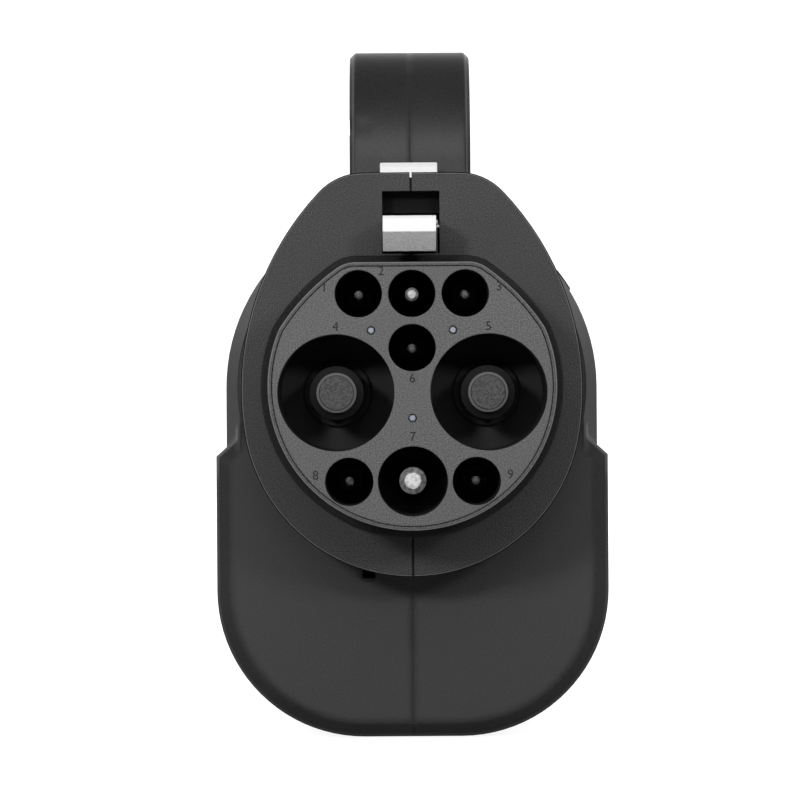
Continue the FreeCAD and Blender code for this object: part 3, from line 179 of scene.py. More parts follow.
paper_width = 6.0
paper_front = -3.0
paper_back = 2.0
paper_bend = 0.6
paper_height = 2.5
bend = np.linspace(0, math.pi / 2, 17)
paper_y = np.concatenate([[paper_front], paper_back - paper_bend + paper_bend * np.sin(bend), [paper_back]])
paper_z = np.concatenate([[0.0], paper_bend - paper_bend * np.cos(bend), [paper_height]])
rows = len(paper_y)
corners = np.zeros((2, rows, 3))
corners[0, :, 0] = -paper_width / 2
corners[1, :, 0] = paper_width / 2
corners[:, :, 1] = paper_y
corners[:, :, 2] = paper_z
step = np.arange(rows - 1)
quads = np.stack([step, step + rows, step + rows + 1, step + 1], axis=1)
paper_mesh = bpy.data.meshes.new("paper")
paper_mesh.from_pydata(corners.reshape(-1, 3).tolist(), [], quads.tolist())
paper = bpy.data.objects.new("paper", paper_mesh)
bpy.context.scene.collection.objects.link(paper)

# The paper's strengths. Each pair says where along Y, or along Z for the rise, an effect starts and is full.
paper_glow, white_from = 0.90, (0.2, 0.8)
paper_gleam, gleam_from = 0.60, (0.4, 1.6)
low_gleam, gleam_rise = 0.30, (0.2, 0.9)
paper_lamp_glow, lamp_glow_from = 1.5, (1.0, 1.9)
recipe = Recipe(bpy.data.materials.new("white_paper"))
path = recipe.add("ShaderNodeLightPath")
mirrored = recipe.other(path, "Is Glossy Ray") + recipe.other(path, "Is Transmission Ray")
_, back, up = recipe.axes(recipe.add("ShaderNodeTexCoord", {}, {}, "Object"))
matt = recipe.add("ShaderNodeBsdfDiffuse", {}, {"Color": grey(175)})
seen = path * (paper_glow + (1 - paper_glow) * back.fade(*white_from))
higher = low_gleam + up.fade(*gleam_rise) * (1 - low_gleam)
gleam = mirrored * back.fade(*gleam_from) * higher * paper_gleam
# Painted light: far back, the paper also glows on diffuse rays and lights the adapter's back like a lamp, in
# place of light bounced off it.
glow_as_lamp = recipe.other(path, "Is Diffuse Ray") * back.fade(*lamp_glow_from) * paper_lamp_glow
glow = recipe.add("ShaderNodeEmission", {}, {"Strength": seen + gleam + glow_as_lamp})
both = recipe.add("ShaderNodeAddShader", {}, {0: matt, 1: glow})
recipe.add("ShaderNodeOutputMaterial", {}, {"Surface": both})
paper_mesh.materials.append(recipe.owner)

# The room's strengths. The pairs are parts of a direction: how far it points to the back or to a side.
room_light = 0.30
rear_light, rear_from = 0.80, (0.0, 0.8)
room_gleam = 0.25
side_gleam, side_from = 0.15, (0.6, 0.95)
backdrop_gleam, backdrop_from = 0.30, (0.25, 0.75)
recipe = Recipe(bpy.data.worlds.new("room"))
bpy.context.scene.world = recipe.owner
path = recipe.add("ShaderNodeLightPath")
mirrored = recipe.other(path, "Is Glossy Ray") + recipe.other(path, "Is Transmission Ray")
across, back, _ = recipe.axes(recipe.add("ShaderNodeTexCoord", {}, {}, "Generated"))
backdrop = back.fade(*backdrop_from) * backdrop_gleam
sides = abs(across).fade(*side_from) * side_gleam
carried = (1 - path - mirrored) * (room_light + back.fade(*rear_from) * rear_light)
strength = path + mirrored * (room_gleam + sides + backdrop) + carried
sky = recipe.add("ShaderNodeBackground", {}, {"Color": (1.0, 1.0, 1.0, 1.0), "Strength": strength})
recipe.add("ShaderNodeOutputWorld", {}, {"Surface": sky})


def soft_lamp(name, place, aim, width, height, watts):
    """A rectangular soft lamp at one place, turned to face a point."""
    lamp_data = bpy.data.lights.new(name, "AREA")
    lamp_data.shape = "RECTANGLE"
    lamp_data.size = width
    lamp_data.size_y = height
    lamp_data.energy = watts
    lamp = bpy.data.objects.new(name, lamp_data)
    lamp.location = place
    away = np.array(place) - np.array(aim)
    turn = math.atan2(away[1], away[0]) + math.pi / 2
    tilt = math.acos(away[2] / np.linalg.norm(away))
    lamp.rotation_euler = (tilt, 0, turn)
    bpy.context.scene.collection.objects.link(lamp)


middle = (0.0, -0.10, 0.08)
soft_lamp("left_lamp", (-0.40, -1.30, 0.36), middle, 0.12, 0.12, 6.8)
soft_lamp("right_lamp", (0.40, -1.30, 0.36), middle, 0.12, 0.12, 3.9)
soft_lamp("front_lamp", (0.0, -1.30, 0.56), middle, 0.7, 0.45, 6.0)
soft_lamp("left_side_lamp", (-1.20, 0.35, 0.60), middle, 0.6, 0.6, 2.0)
soft_lamp("right_side_lamp", (1.20, 0.35, 0.60), middle, 0.6, 0.6, 2.0)
soft_lamp("rear_lamp", (0.0, 1.50, 0.60), middle, 1.2, 0.8, 4.5)


# The housing: two halves moulded in black glass-filled nylon with a fine satin grain, coarser on the flange.
# They meet on the middle plane, where a fine line shows. The edges are rounded, broadly on the body behind
# the flange.
cloud_size, cloud_share, cloud_dullness = 0.018, 0.3, 0.10
fine_edge, broad_edge = 0.0003, 0.0026
dark_spark, bright_spark, spark_height, spark_dullness = 0.4, 2.4, 1.6, 0.04
# Edges lightened by rubbed wear and in part by a painted sheen; below it, the gain of painted highlights.
wear_and_sheen_gain, wear_and_sheen_share, worn_polish = 7, 0.10, 0.08
highlight_gain = 10


def scaled(colour, share):
    """A colour made lighter or darker, up to nearly white."""
    nearly_white = 0.92
    return (*[min(part * share, nearly_white) for part in colour[:3]], 1.0)


def plastic(
    name, colour, roughness, grain_size, grain_height, marks=None, drift=0.4, gloss=0.5, shadow=26
):
    """Moulded plastic. Its colour and gloss drift a little, and its edges are rounded off and lighter: rubbed
    wear, and in part a painted sheen. The marks, a function of the recipe and the place, say where it is dark
    (painted shade, and on the housing also a real dark seam), where a painted highlight lightens it, where
    its grain is coarse and where its edges are broad. The shadow is its grey in the painted shade."""
    recipe = Recipe(bpy.data.materials.new(name))
    place = recipe.add("ShaderNodeTexCoord", {}, {}, "Object")
    dark, pale, coarse, broad = marks(recipe, place) if marks else (None, None, None, None)
    grain = recipe.noise(place, grain_size, 2.0)
    cloud = recipe.noise(place, cloud_size, 3.0)
    shade = recipe.blend(grain.fade(0.3, 0.7), scaled(colour, 1 - drift), scaled(colour, 1 + drift))
    if coarse:
        sparks = grain.fade(0.35, 0.65)
        sparked = recipe.blend(sparks, scaled(colour, dark_spark), scaled(colour, bright_spark))
        shade = recipe.blend(coarse, shade, sparked)
    shade = recipe.blend(cloud.fade(0.3, 0.7) * cloud_share, shade, scaled(colour, 1 + drift))
    rounded = recipe.add("ShaderNodeBevel", {"samples": 4}, {"Radius": fine_edge})
    if broad:
        wide = recipe.add("ShaderNodeBevel", {"samples": 4}, {"Radius": broad_edge})
        rounded = recipe.turn(broad, rounded, wide)
    flat = recipe.add("ShaderNodeNewGeometry", {}, {}, "Normal")
    likeness = recipe.add("ShaderNodeVectorMath", {"operation": "DOT_PRODUCT"}, {0: rounded, 1: flat}, 1)
    # Lighter edges: rubbed wear, and in part a painted sheen.
    wear_and_sheen = likeness.fade(0.995, 0.90) * cloud.fade(0.35, 0.60)
    shade = recipe.blend(wear_and_sheen * wear_and_sheen_share, shade, scaled(colour, wear_and_sheen_gain))
    # Painted highlight where the marks say.
    if pale:
        shade = recipe.blend(pale, shade, scaled(colour, highlight_gain))
    height = grain * (1 + coarse * spark_height) if coarse else grain
    bumps = {"Strength": 1.0, "Distance": grain_height, "Height": height, "Normal": rounded}
    skin = recipe.add("ShaderNodeBump", {}, bumps)
    dulled = roughness + (cloud - 0.5) * cloud_dullness - wear_and_sheen * worn_polish
    if coarse:
        dulled = dulled + coarse * spark_dullness
    surface = {"Base Color": shade, "Roughness": dulled, "Specular IOR Level": gloss, "Normal": skin}
    shader = recipe.add("ShaderNodeBsdfPrincipled", {}, surface)
    # Painted shade, and the housing's real dark seam: a matt dark grey mixed in where the marks say.
    if dark:
        shaded = recipe.add("ShaderNodeBsdfDiffuse", {}, {"Color": grey(shadow)})
        shader = recipe.add("ShaderNodeMixShader", {}, {0: dark, 1: shader, 2: shaded})
    recipe.add("ShaderNodeOutputMaterial", {}, {"Surface": shader})
    return recipe.owner


def dress(material, *nodes):
    """Gives CAD nodes their material."""
    for node in nodes:
        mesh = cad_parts[node].data
        mesh.materials.clear()
        mesh.materials.append(material)


# Each pair says where a mark of the housing is 0 and where it is full. The pairs of the edge, the rim and the
# window's start are depths behind the flange's front, those of the window's sides and ends are distances from
# its middle, and the others are places in the frame.
flange_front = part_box("plug_seal")[1].y
flange_rear, flange_fade = flange_front + 0.0045, 0.0004
seam_half_width, seam_on_flange, seam_on_body = 0.00012, 0.00016, 0.12
# Painted shade falls in the latch window and on the rim behind the flange's front edge; painted highlights on
# that edge, the brow and the grip's edges.
window_x, window_z = -0.0002, 0.1193
window_sides, window_ends = (0.0078, 0.0066), (0.0080, 0.0074)
window_start, window_back = (0.0001, 0.0008), (-0.0300, -0.0360)
edge_start, edge_end = (0.00001, 0.00003), (0.00018, 0.00014)
rim_start, rim_end = (0.00014, 0.00018), (0.00060, 0.00044)
upper_breadth, lower_body = 0.55, (0.090, 0.075)
brow_front, brow_back, brow_top = (-0.0604, -0.0598), (-0.0570, -0.0590), (0.074, 0.072)
brow_highlight_strength, brow_below, brow_ledge = 0.7, 0.35, (0.060, 0.063)
grip_inner, grip_outer = (0.0131, 0.0133), (0.0137, 0.0135)
grip_low, grip_front, grip_highlight_strength = (0.124, 0.126), (-0.060, -0.055), 0.35


def housing_marks(recipe, place):
    """Dark along the seam, most of all on the flange. Painted shade inside the latch window and on the rim
    just behind the flange's front edge. Painted highlights along that edge, on the brow that the lower body's
    front edge makes, most of all at its ledges, and on the long edges of the handle's grip. Coarse on the
    flange's face. Broad-edged on the body behind the flange, most of all low down."""
    x, y, z = recipe.axes(place)
    on_flange = y.fade_past(flange_rear, flange_fade, 0.0)
    seam = (abs(x) - on_flange * seam_on_flange).fade(1.6 * seam_half_width, 0.4 * seam_half_width)
    seam = seam * (seam_on_body + on_flange * (1 - seam_on_body))
    window = abs(x - window_x).fade(*window_sides) * abs(z - window_z).fade(*window_ends)
    window_shade = window * y.fade_past(flange_front, *window_start) * y.fade(*window_back)
    edge_highlight = y.fade_past(flange_front, *edge_start) * y.fade_past(flange_front, *edge_end)
    rim_shade = y.fade_past(flange_front, *rim_start) * y.fade_past(flange_front, *rim_end)
    broad = (1 - on_flange) * (upper_breadth + z.fade(*lower_body) * (1 - upper_breadth))
    brow_highlight = y.fade(*brow_front) * y.fade(*brow_back) * z.fade(*brow_top)
    brow_highlight = brow_highlight * (brow_below + z.fade(*brow_ledge) * (1 - brow_below)) * brow_highlight_strength
    grip_highlight = abs(x).fade(*grip_inner) * abs(x).fade(*grip_outer) * z.fade(*grip_low) * y.fade(*grip_front)
    pale = edge_highlight * (1 - window) | brow_highlight | grip_highlight * grip_highlight_strength
    return seam | window_shade | rim_shade, pale, on_flange, broad


housing_plastic = plastic(
    "housing_plastic", grey(32), roughness=0.50, grain_size=0.00030, grain_height=0.000020,
    marks=housing_marks, gloss=0.30,
)
dress(housing_plastic, "housing_left", "housing_right")


# The plug's face block, moulded in the housing's nylon with nine wells and a coarse spark grain on its face,
# and the plate behind it that carries the pins. The wells are painted dark inside, as painted shade.
face_y = face[0].y
face_skin, well_shade = (0.0006, 0.0002), (0.0004, 0.003)


def face_marks(recipe, place):
    """Painted shade from a little below the face, down the wells; coarse on the face itself."""
    _, y, _ = recipe.axes(place)
    return y.fade_past(face_y, *well_shade), y * 0, y.fade_past(face_y, *face_skin), y * 0


insert_plastic = plastic(
    "insert_plastic", grey(50), roughness=0.43, grain_size=0.00030, grain_height=0.000016,
    marks=face_marks, gloss=0.45, shadow=50,
)
dress(insert_plastic, "plug_insert", "contact_plate")


# The sleeve round the face block, a thin moulded wall. Its front rim carries a painted highlight, and its
# smooth side behind the rim is painted near black as painted shade.
sleeve_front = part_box("plug_shell")[0].y
sleeve_side, sleeve_edge = (0.0004, 0.0008), (0.00002, 0.00006)
side_shade_strength, edge_highlight_strength = 0.9, 0.5


def sleeve_marks(recipe, place):
    """A painted highlight and coarse grain on the front rim, painted shade on the side behind it."""
    _, y, _ = recipe.axes(place)
    side_shade = y.fade_past(sleeve_front, *sleeve_side)
    edge_highlight = y.fade_past(sleeve_front, *sleeve_edge) * (1 - side_shade)
    return side_shade * side_shade_strength, edge_highlight * edge_highlight_strength, 1 - side_shade, y * 0


sleeve_plastic = plastic(
    "sleeve_plastic", grey(43), roughness=0.46, grain_size=0.00030, grain_height=0.000014,
    marks=sleeve_marks, gloss=0.4,
)
dress(sleeve_plastic, "plug_shell")


# The rubber ring at the foot of the sleeve, moulded in one piece and stretched over it. It seals against the
# car's inlet, and its like seals the socket.
rubber = plastic(
    "rubber", grey(26), roughness=0.8, grain_size=0.0006, grain_height=0.000012, gloss=0.2
)
dress(rubber, "plug_seal", "inlet_seal")


# The touch guards over the two power pins: caps moulded in dark grey nylon, each held by a stem in the end
# of its pin. Their rounded rims carry a painted highlight.
cap_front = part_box("dc_plus_cap")[0].y
cap_end, cap_rim_start, cap_rim_end = (0.00015, 0.00005), (0.00008, 0.00025), (0.0009, 0.0006)
cap_rim_highlight = 0.7


def cap_marks(recipe, place):
    """A painted highlight on the rounded rim, coarse on the flat end."""
    _, y, _ = recipe.axes(place)
    edge_highlight = y.fade_past(cap_front, *cap_rim_start) * y.fade_past(cap_front, *cap_rim_end)
    return y * 0, edge_highlight * cap_rim_highlight, y.fade_past(cap_front, *cap_end), y * 0


cap_plastic = plastic(
    "cap_plastic", grey(37), roughness=0.42, grain_size=0.00040, grain_height=0.000020,
    marks=cap_marks, gloss=0.3,
)
dress(cap_plastic, "dc_plus_cap", "dc_minus_cap")


# The pins, turned in copper alloy and silver plated. As painted shade for the dark wells they stand in, the
# power pins are painted black up to their caps and the others up to a bare tip; the black ends inside the
# socket, where the pins are bare again. The small pins' silver is painted darker too, as painted shade.
polish_size, polish_height, polish_drift = 0.0009, 4, 0.3
scratch_size, scratch_depth = 0.00018, 0.000010
pin_shade_black, pin_shade_dullness = grey(8), 0.3
pin_shade_fade, pin_shade_rear = 0.0006, (0.0500, 0.0495)


def metal(name, colour, roughness, shaded_from=None, edge_radius=0.0005, mottle=0.25):
    """Metal with a faint cloud in its polish, fine scratches and rounded edges. A pin with a y to be shaded
    from is painted black from there back to the shade's rear end, as painted shade."""
    recipe = Recipe(bpy.data.materials.new(name))
    place = recipe.add("ShaderNodeTexCoord", {}, {}, "Object")
    cloud = recipe.noise(place, polish_size, 3.0)
    fine = recipe.noise(place, scratch_size, 2.0)
    relief = fine + cloud * polish_height
    rounded = recipe.add("ShaderNodeBevel", {"samples": 4}, {"Radius": edge_radius})
    bumps = {"Strength": 1.0, "Distance": scratch_depth, "Height": relief, "Normal": rounded}
    skin = recipe.add("ShaderNodeBump", {}, bumps)
    shade = recipe.blend(cloud.fade(0.35, 0.65), scaled(colour, 1 - mottle), colour)
    dulled = roughness + (cloud - 0.5) * polish_drift
    metallic = 1.0
    if shaded_from:
        _, y, _ = recipe.axes(place)
        covered = y.fade_past(shaded_from, 0.0, pin_shade_fade) * y.fade(*pin_shade_rear)
        shade = recipe.blend(covered, shade, pin_shade_black)
        metallic = 1 - covered
        dulled = dulled + covered * pin_shade_dullness
    surface = {"Base Color": shade, "Metallic": metallic, "Roughness": dulled, "Normal": skin}
    shader = recipe.add("ShaderNodeBsdfPrincipled", {}, surface)
    recipe.add("ShaderNodeOutputMaterial", {}, {"Surface": shader})
    return recipe.owner


# How far behind its tip the painted black shade starts on a power pin, on the two pins that look pale, and on
# the others.
power_bare, pale_bare, small_bare = -0.001, 0.0030, 0.0012
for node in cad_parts:
    if node.endswith("_pin") and node != "latch_pin":
        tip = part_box(node)[0].y
        if "dc" in node:
            silver = metal(
                "shaded_silver_" + node, grey(200), roughness=0.45, shaded_from=tip + power_bare
            )
        elif node in ("pe_pin", "cc2_pin"):
            silver = metal(
                "silver_" + node, grey(200), roughness=0.66, shaded_from=tip + pale_bare,
                edge_radius=0.0004, mottle=0.45,
            )
        else:
            # The small pins' silver is darker than the pale pins', as painted shade.
            silver = metal(
                "shaded_small_silver_" + node, grey(85), roughness=0.25, shaded_from=tip + small_bare,
                edge_radius=0.0010,
            )
        dress(silver, node)


# The other metal parts: steel rivets pressed into the face, bars of bare copper that join the power pins
# behind the plate, and the ground steel pin of the latch and plunger of its lock.
dress(metal("rivet_steel", tone(120, 123, 131), roughness=0.5), "face_rivets")
dress(metal("copper", tone(222, 150, 118), roughness=0.3), "busbar_plus", "busbar_minus")
steel = metal("steel", grey(190), roughness=0.35)
dress(steel, "latch_pin", "lock_plunger")


# The latch lever, moulded in white acetal: a hook in the window and a thumb pad behind the flange. The ramp
# under the hook faces down and is painted greyer as painted shade, speckled by its rough grain.
ramp_front, ramp_top = (-0.0950, -0.0960), (0.11655, 0.11635)
ramp_spark, ramp_shade, ramp_speckle = 0.00045, 0.08, 0.20


def latch_marks(recipe, place):
    """Painted shade on the ramp below the hook's front edge, speckled by its grain."""
    _, y, z = recipe.axes(place)
    ramp = y.fade(*ramp_front) * z.fade(*ramp_top)
    spark = recipe.noise(place, ramp_spark, 1.0)
    return ramp * (ramp_shade + spark.fade(0.7, 0.3) * ramp_speckle), y * 0, y * 0, y * 0


latch_plastic = plastic(
    "latch_plastic", grey(224), roughness=0.40, grain_size=0.0004, grain_height=0.000006,
    marks=latch_marks, drift=0.03,
)
dress(latch_plastic, "latch_lever")


# The rivet that crosses the hook, of steel and pressed in from the right, where its domed head stands out.
# Its steel is coloured near white, a painted highlight so that it shows as a glint.
def bands(count, around, first=0):
    """Four-sided faces between each ring of points and the next. The rings have the same number of points
    around, and the first one's first point has the number given."""
    row, column = np.meshgrid(np.arange(count - 1), np.arange(around), indexing="ij")
    after = (column + 1) % around
    here, there = first + row * around, first + (row + 1) * around
    quads = np.stack([here + column, here + after, there + after, there + column], axis=2)
    return quads.reshape(-1, 4).tolist()


def turned(profile, columns=32, lobes=None, ridge=None):
    """A closed turned surface about the X axis. Row i of the profile gives a place along X and a radius, and
    the radius is multiplied by 1 + lobe * cos(6 * angle), where a lobe is given for the row. A ridge (pitch,
    height, first row, last row) adds height / 2 * cos(angle - 2 pi x / pitch) to the rows between. The first
    and last rows are poles."""
    along, radius = np.array(profile, dtype=float).T
    angle = np.linspace(0, 2 * math.pi, columns, endpoint=False)
    rounds = np.repeat(radius[:, None], columns, axis=1)
    if lobes is not None:
        rounds = rounds * (1 + np.array(lobes)[:, None] * np.cos(6 * angle))
    if ridge:
        pitch, height, first, last = ridge
        wave = np.cos(angle - 2 * math.pi * along[first:last, None] / pitch)
        rounds[first:last] += height / 2 * wave
    places = np.repeat(along[:, None], columns, axis=1)
    grid = np.stack([places, rounds * np.cos(angle), rounds * np.sin(angle)], axis=2)
    points = np.concatenate([grid[0, :1], grid[1:-1].reshape(-1, 3), grid[-1, :1]])
    inner = len(profile) - 2
    ring = np.arange(columns)
    start = np.stack([np.zeros_like(ring), 1 + (ring + 1) % columns, 1 + ring], axis=1)
    last_ring = 1 + (inner - 1) * columns
    tip = np.full_like(ring, len(points) - 1)
    end = np.stack([tip, last_ring + ring, last_ring + (ring + 1) % columns], axis=1)
    return points, bands(inner, columns, 1) + start.tolist() + end.tolist()


def piece(name, points, faces, material, smooth=True):
    """A new object from points and faces, in the object's own frame."""
    mesh = bpy.data.meshes.new(name)
    mesh.from_pydata(np.asarray(points).tolist(), [], faces)
    mesh.materials.append(material)
    mesh.polygons.foreach_set("use_smooth", np.full(len(mesh.polygons), smooth))
    mesh.update()
    thing = bpy.data.objects.new(name, mesh)
    bpy.context.scene.collection.objects.link(thing)
    return thing


rivet_place = (0.0052, -0.1050, 0.1186)
rivet_radius, rivet_lip, rivet_rise = 0.00065, 0.00020, 0.00055
rivet_root, rivet_shank = -0.0006, 0.0003
bend = np.linspace(math.pi / 2, 0, 9)
dome = np.stack([rivet_lip + rivet_rise * np.cos(bend), rivet_radius * np.sin(bend)], axis=1)
rivet_foot = [(rivet_root, 0.0), (rivet_root, rivet_shank), (0.0, rivet_shank), (0.0, rivet_radius)]
points, faces = turned(rivet_foot + dome.tolist(), 24)
points += np.array(rivet_place)
hook_rivet = piece("hook_rivet", points, faces, metal("rivet_painted_glint", grey(248), roughness=0.5))
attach(hook_rivet, "latch")


# The cheek that fills the window's lower right corner beside the hook: a small upright rib moulded with the
# housing, bevelled along its front edge and sloped off at the top.
def tube(rings):
    """A closed surface through rings of points, all of the same count: a band of four-sided faces between
    each ring and the next, and one flat face on the first and on the last."""
    count, around = rings.shape[:2]
    last = (count - 1) * around
    ends = [list(range(around))[::-1], list(range(last, last + around))]
    return rings.reshape(-1, 3), bands(count, around) + ends


cheek_left, cheek_right = 0.00535, 0.00604
cheek_front, cheek_rear = flange_front, flange_front + 0.0030
cheek_bevel, cheek_slope = 0.00015, 0.3
cheek_outline = np.array([
    (cheek_left, cheek_rear),
    (cheek_left, cheek_front + cheek_bevel),
    (cheek_left + cheek_bevel, cheek_front),
    (cheek_right, cheek_front),
    (cheek_right, cheek_rear),
])
cheek_levels = np.array([0.1122, 0.1176, 0.1179, 0.1180])
cheek_shares = np.array([1.0, 1.0, 0.9, 0.6])
inset = (1 - cheek_shares)[:, None] * (cheek_rear - cheek_front) * cheek_slope
rings = np.zeros((len(cheek_levels), len(cheek_outline), 3))
rings[:, :, 0] = cheek_outline[:, 0]
rings[:, :, 1] = np.clip(cheek_outline[:, 1] + inset, cheek_front, cheek_rear)
rings[:, :, 2] = cheek_levels[:, None]
points, faces = tube(rings)
window_cheek = piece("window_cheek", points, faces, housing_plastic, False)
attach(window_cheek, "adapter")


# The latch's return spring: three turns of round steel wire between a shelf of the housing and the lever's
# tail, which presses it shorter as the thumb pad goes down.
spring_low, spring_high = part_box("latch_spring")
spring_x = (spring_low.x + spring_high.x) / 2
spring_y = (spring_low.y + spring_high.y) / 2
coil_radius, wire_radius, coil_turns = 0.0026, 0.00042, 3.0
wire_rings, wire_sides = 97, 10
turned_by = np.linspace(0, 2 * math.pi * coil_turns, wire_rings)
outward = np.stack([np.cos(turned_by), np.sin(turned_by), 0 * turned_by], axis=1)
rise = (spring_high.z - spring_low.z - 2 * wire_radius) * turned_by / turned_by[-1]
wire_line = coil_radius * outward + np.stack([0 * rise, 0 * rise, rise], axis=1)
wire_line += np.array([spring_x, spring_y, spring_low.z + wire_radius])
around = np.linspace(0, 2 * math.pi, wire_sides, endpoint=False)
rings = wire_line[:, None] + wire_radius * (
    np.cos(around)[:, None] * outward[:, None] + np.sin(around)[:, None] * np.array([0.0, 0.0, 1.0])
)
points, faces = tube(rings[::-1])
coil_spring = piece("coil_spring", points, faces, steel)
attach(coil_spring, "adapter")
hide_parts("latch_spring")
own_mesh(coil_spring)


# The foot, a moulded rubber pad let into the bottom: a smooth border round a field of fine ribs that grip
# what it stands on. The arcs at its four corners stop a little short of the straight ends.
foot_low, foot_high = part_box("foot_pad")
rib_pitch, rib_depth, rib_fade, rib_wall = 0.0040, 0.0006, 0.001, 0.0006
foot_border, foot_corner, foot_round = 0.0030, 0.0050, 0.0004
arc_share = 0.98
foot_middle = (foot_low.y + foot_high.y) / 2
half_length = (foot_high.y - foot_low.y) / 2
half_width = (foot_high.x - foot_low.x) / 2
along = np.linspace(-1, 1, 301) * half_length
past = np.clip((np.abs(along) - half_length + foot_corner) / foot_corner, 0, 1)
reach = half_width - foot_corner * (1 - np.sqrt(1 - arc_share * past ** 2))
field = reach - foot_border
ribbed = np.clip((half_length - foot_border - np.abs(along)) / rib_fade, 0, 1)
groove = foot_low.z + rib_depth * ribbed * (0.5 - 0.5 * np.cos(2 * math.pi * along / rib_pitch))
flat = np.full_like(along, foot_low.z)
top = np.full_like(along, foot_high.z)
side_x = [reach, reach - foot_round, field, field - rib_wall]
side_z = [flat + foot_round, flat, flat, groove]
foot_x = np.stack([-x for x in side_x] + side_x[::-1] + [reach, -reach], axis=1)
foot_z = np.stack(side_z + side_z[::-1] + [top, top], axis=1)
foot_y = np.repeat(along[:, None] + foot_middle, foot_x.shape[1], axis=1)
points, faces = tube(np.stack([foot_x, foot_y, foot_z], axis=2)[::-1])
ribbed_foot = piece("ribbed_foot", points, faces, rubber, False)
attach(ribbed_foot, "adapter")
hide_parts("foot_pad")


# The socket for the other connector, at the rear: a collar and a face block with its wells, both moulded in
# black nylon and held between the halves of the housing.
collar_plastic = plastic(
    "collar_plastic", grey(36), roughness=0.45, grain_size=0.00035, grain_height=0.000012
)
dress(collar_plastic, "inlet_shell")
socket_plastic = plastic(
    "socket_plastic", grey(40), roughness=0.5, grain_size=0.00035, grain_height=0.000020
)
dress(socket_plastic, "inlet_block")


# The five screws that hold the halves together, of zinc-plated steel. Each has a rounded pan head with a
# six-lobe recess, sunk in the left half, and a rolled thread.
head_radius, head_front, head_seat = 0.0036, -0.0116, -0.0090
crown_radius, crown_height = 0.0012, 0.0010
shank_radius, shank_end, tip_length = 0.0018, 0.0080, 0.0006
thread_pitch, thread_height, thread_step = 0.0010, 0.0004, 0.0002
thread_gap, thread_stop = 0.0012, 0.0010
recess_radius, recess_depth, recess_lip = 0.0015, 0.0013, 0.0002
recess_lobe, lip_lobe = 0.18, 0.16
recess_floor = head_front + recess_depth
head = [
    (recess_floor, 0.0),
    (recess_floor, recess_radius * 0.94),
    (recess_floor, recess_radius),
    (head_front + recess_lip, recess_radius),
    (head_front, recess_radius * 1.08),
    (head_front, head_radius - crown_radius),
]
turn_in = np.linspace(0, math.pi / 2, 7)[1:]
crown_x = head_front + crown_height * (1 - np.cos(turn_in))
crown = np.stack([crown_x, head_radius - crown_radius + crown_radius * np.sin(turn_in)], axis=1)
neck = [(head_seat, head_radius), (head_seat, head_radius - 0.0001), (head_seat, shank_radius)]
threaded = np.arange(head_seat + thread_gap, shank_end - thread_stop, thread_step)
shank = np.stack([threaded, np.full(len(threaded), shank_radius)], axis=1)
point = [(shank_end - tip_length, shank_radius * 0.85), (shank_end, shank_radius * 0.5), (shank_end, 0.0)]
profile = head + crown.tolist() + neck + shank.tolist() + point
recess_rows = [0.0, recess_lobe, recess_lobe, recess_lobe, lip_lobe]
lobes = recess_rows + [0.0] * (len(profile) - len(recess_rows))
first = len(head) + len(crown) + len(neck)
points, faces = turned(profile, 48, lobes, (thread_pitch, thread_height, first, first + len(shank)))
screw_places = (
    (-0.0533, 0.0364), (0.0568, 0.0114), (-0.04425, 0.1423), (0.05525, 0.1423), (0.0147, 0.0505)
)
screw_turn = 0.7
screw_steel = metal("screw_steel", tone(150, 150, 145), roughness=0.35, edge_radius=0.0002)
for number, (y, z) in enumerate(screw_places, 1):
    spun = points.copy()
    turn = screw_turn * number
    spun[:, 1] = points[:, 1] * math.cos(turn) - points[:, 2] * math.sin(turn) + y
    spun[:, 2] = points[:, 1] * math.sin(turn) + points[:, 2] * math.cos(turn) + z
    screw = piece(f"screw_{number}", spun, faces, screw_steel)
    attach(screw, "adapter")
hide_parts("housing_screws")


# Plain raised numbers, one beside each well of the plug's face and of the socket's. They are coloured darker
# than the faces they stand on, as painted shade for the dark outlines of their low relief.
glyph_height, glyph_relief = 0.0020, 0.00012
digit_share = 0.7
same_place = 0.000001


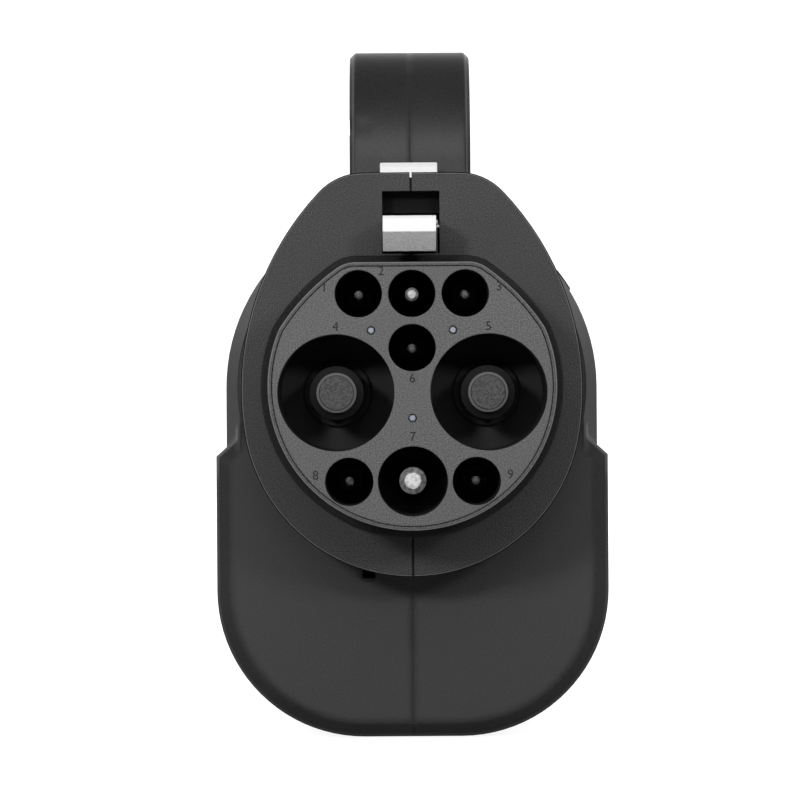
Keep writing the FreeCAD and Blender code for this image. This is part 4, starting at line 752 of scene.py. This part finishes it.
def raised_numbers(name, places, plane, outward, height, material):
    """Numbers from 1 up as one mesh. Each is centred on its x and z, stands out of the plane along Y, and
    reads from outside: a flat glyph's (x, y, depth) becomes (-outward * x, outward * depth, y). A digit
    takes up a share of its font size, and its caps and sides are joined where they meet."""
    points, faces = [], []
    for number, (x, z) in enumerate(places, 1):
        glyph = bpy.data.curves.new(f"{name}_{number}", "FONT")
        glyph.body = str(number)
        glyph.size = height / digit_share
        glyph.align_x = "CENTER"
        glyph.align_y = "CENTER"
        glyph.extrude = glyph_relief
        glyph.resolution_u = 4
        holder = bpy.data.objects.new(f"{name}_{number}", glyph)
        mesh = bpy.data.meshes.new_from_object(holder)
        joined = bmesh.new()
        joined.from_mesh(mesh)
        bmesh.ops.remove_doubles(joined, verts=joined.verts, dist=same_place)
        joined.to_mesh(mesh)
        joined.free()
        flat = np.empty(len(mesh.vertices) * 3)
        mesh.vertices.foreach_get("co", flat)
        flat = flat.reshape(-1, 3)
        start = sum(len(group) for group in points)
        faces += [[start + corner for corner in polygon.vertices] for polygon in mesh.polygons]
        across, up, depth = flat.T
        points.append(np.stack([x - outward * across, plane + outward * depth, z + up], axis=1))
        bpy.data.objects.remove(holder)
        bpy.data.meshes.remove(mesh)
        bpy.data.curves.remove(glyph)
    numbers = piece(name, np.concatenate(points), faces, material, False)
    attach(numbers, "adapter")


# A darker grey than the faces, as painted shade for the relief's outlines.
number_plastic = plastic(
    "number_plastic", grey(30), roughness=0.5, grain_size=0.0004, grain_height=0.00001, gloss=0.2
)
number_places = (
    (-0.0192, 0.1037), (-0.0067, 0.1072), (0.0192, 0.1037),
    (-0.0168, 0.0950), (0.0168, 0.0950), (0.0, 0.0836),
    (0.0, 0.0708), (-0.0214, 0.0624), (0.0214, 0.0624),
)
raised_numbers("face_numbers", number_places, face_y, -1, glyph_height, number_plastic)
socket_places = (
    (0.0136, 0.0988), (-0.0136, 0.0988), (0.0229, 0.0820),
    (0.0, 0.0892), (-0.0229, 0.0820), (0.0156, 0.0660),
    (-0.0156, 0.0660), (0.0135, 0.0556), (-0.0135, 0.0556),
)
socket_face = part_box("inlet_block")[1].y
raised_numbers("socket_numbers", socket_places, socket_face, 1, glyph_height, number_plastic)


# The side button, the lock's solenoid, the switch and the parts on the board are black. The board has green
# lacquer, and the cells are in a pale blue sleeve.
button_plastic = plastic(
    "button_plastic", grey(34), roughness=0.45, grain_size=0.0004, grain_height=0.000010
)
dress(button_plastic, "side_button", "lock_solenoid", "button_switch", "board_parts")
board_lacquer = plastic(
    "board_lacquer", tone(20, 70, 45), roughness=0.3, grain_size=0.001, grain_height=0.00001
)
dress(board_lacquer, "circuit_board")
cell_sleeve = plastic(
    "cell_sleeve", tone(90, 130, 165), roughness=0.3, grain_size=0.001, grain_height=0.00001
)
dress(cell_sleeve, "battery_cells")
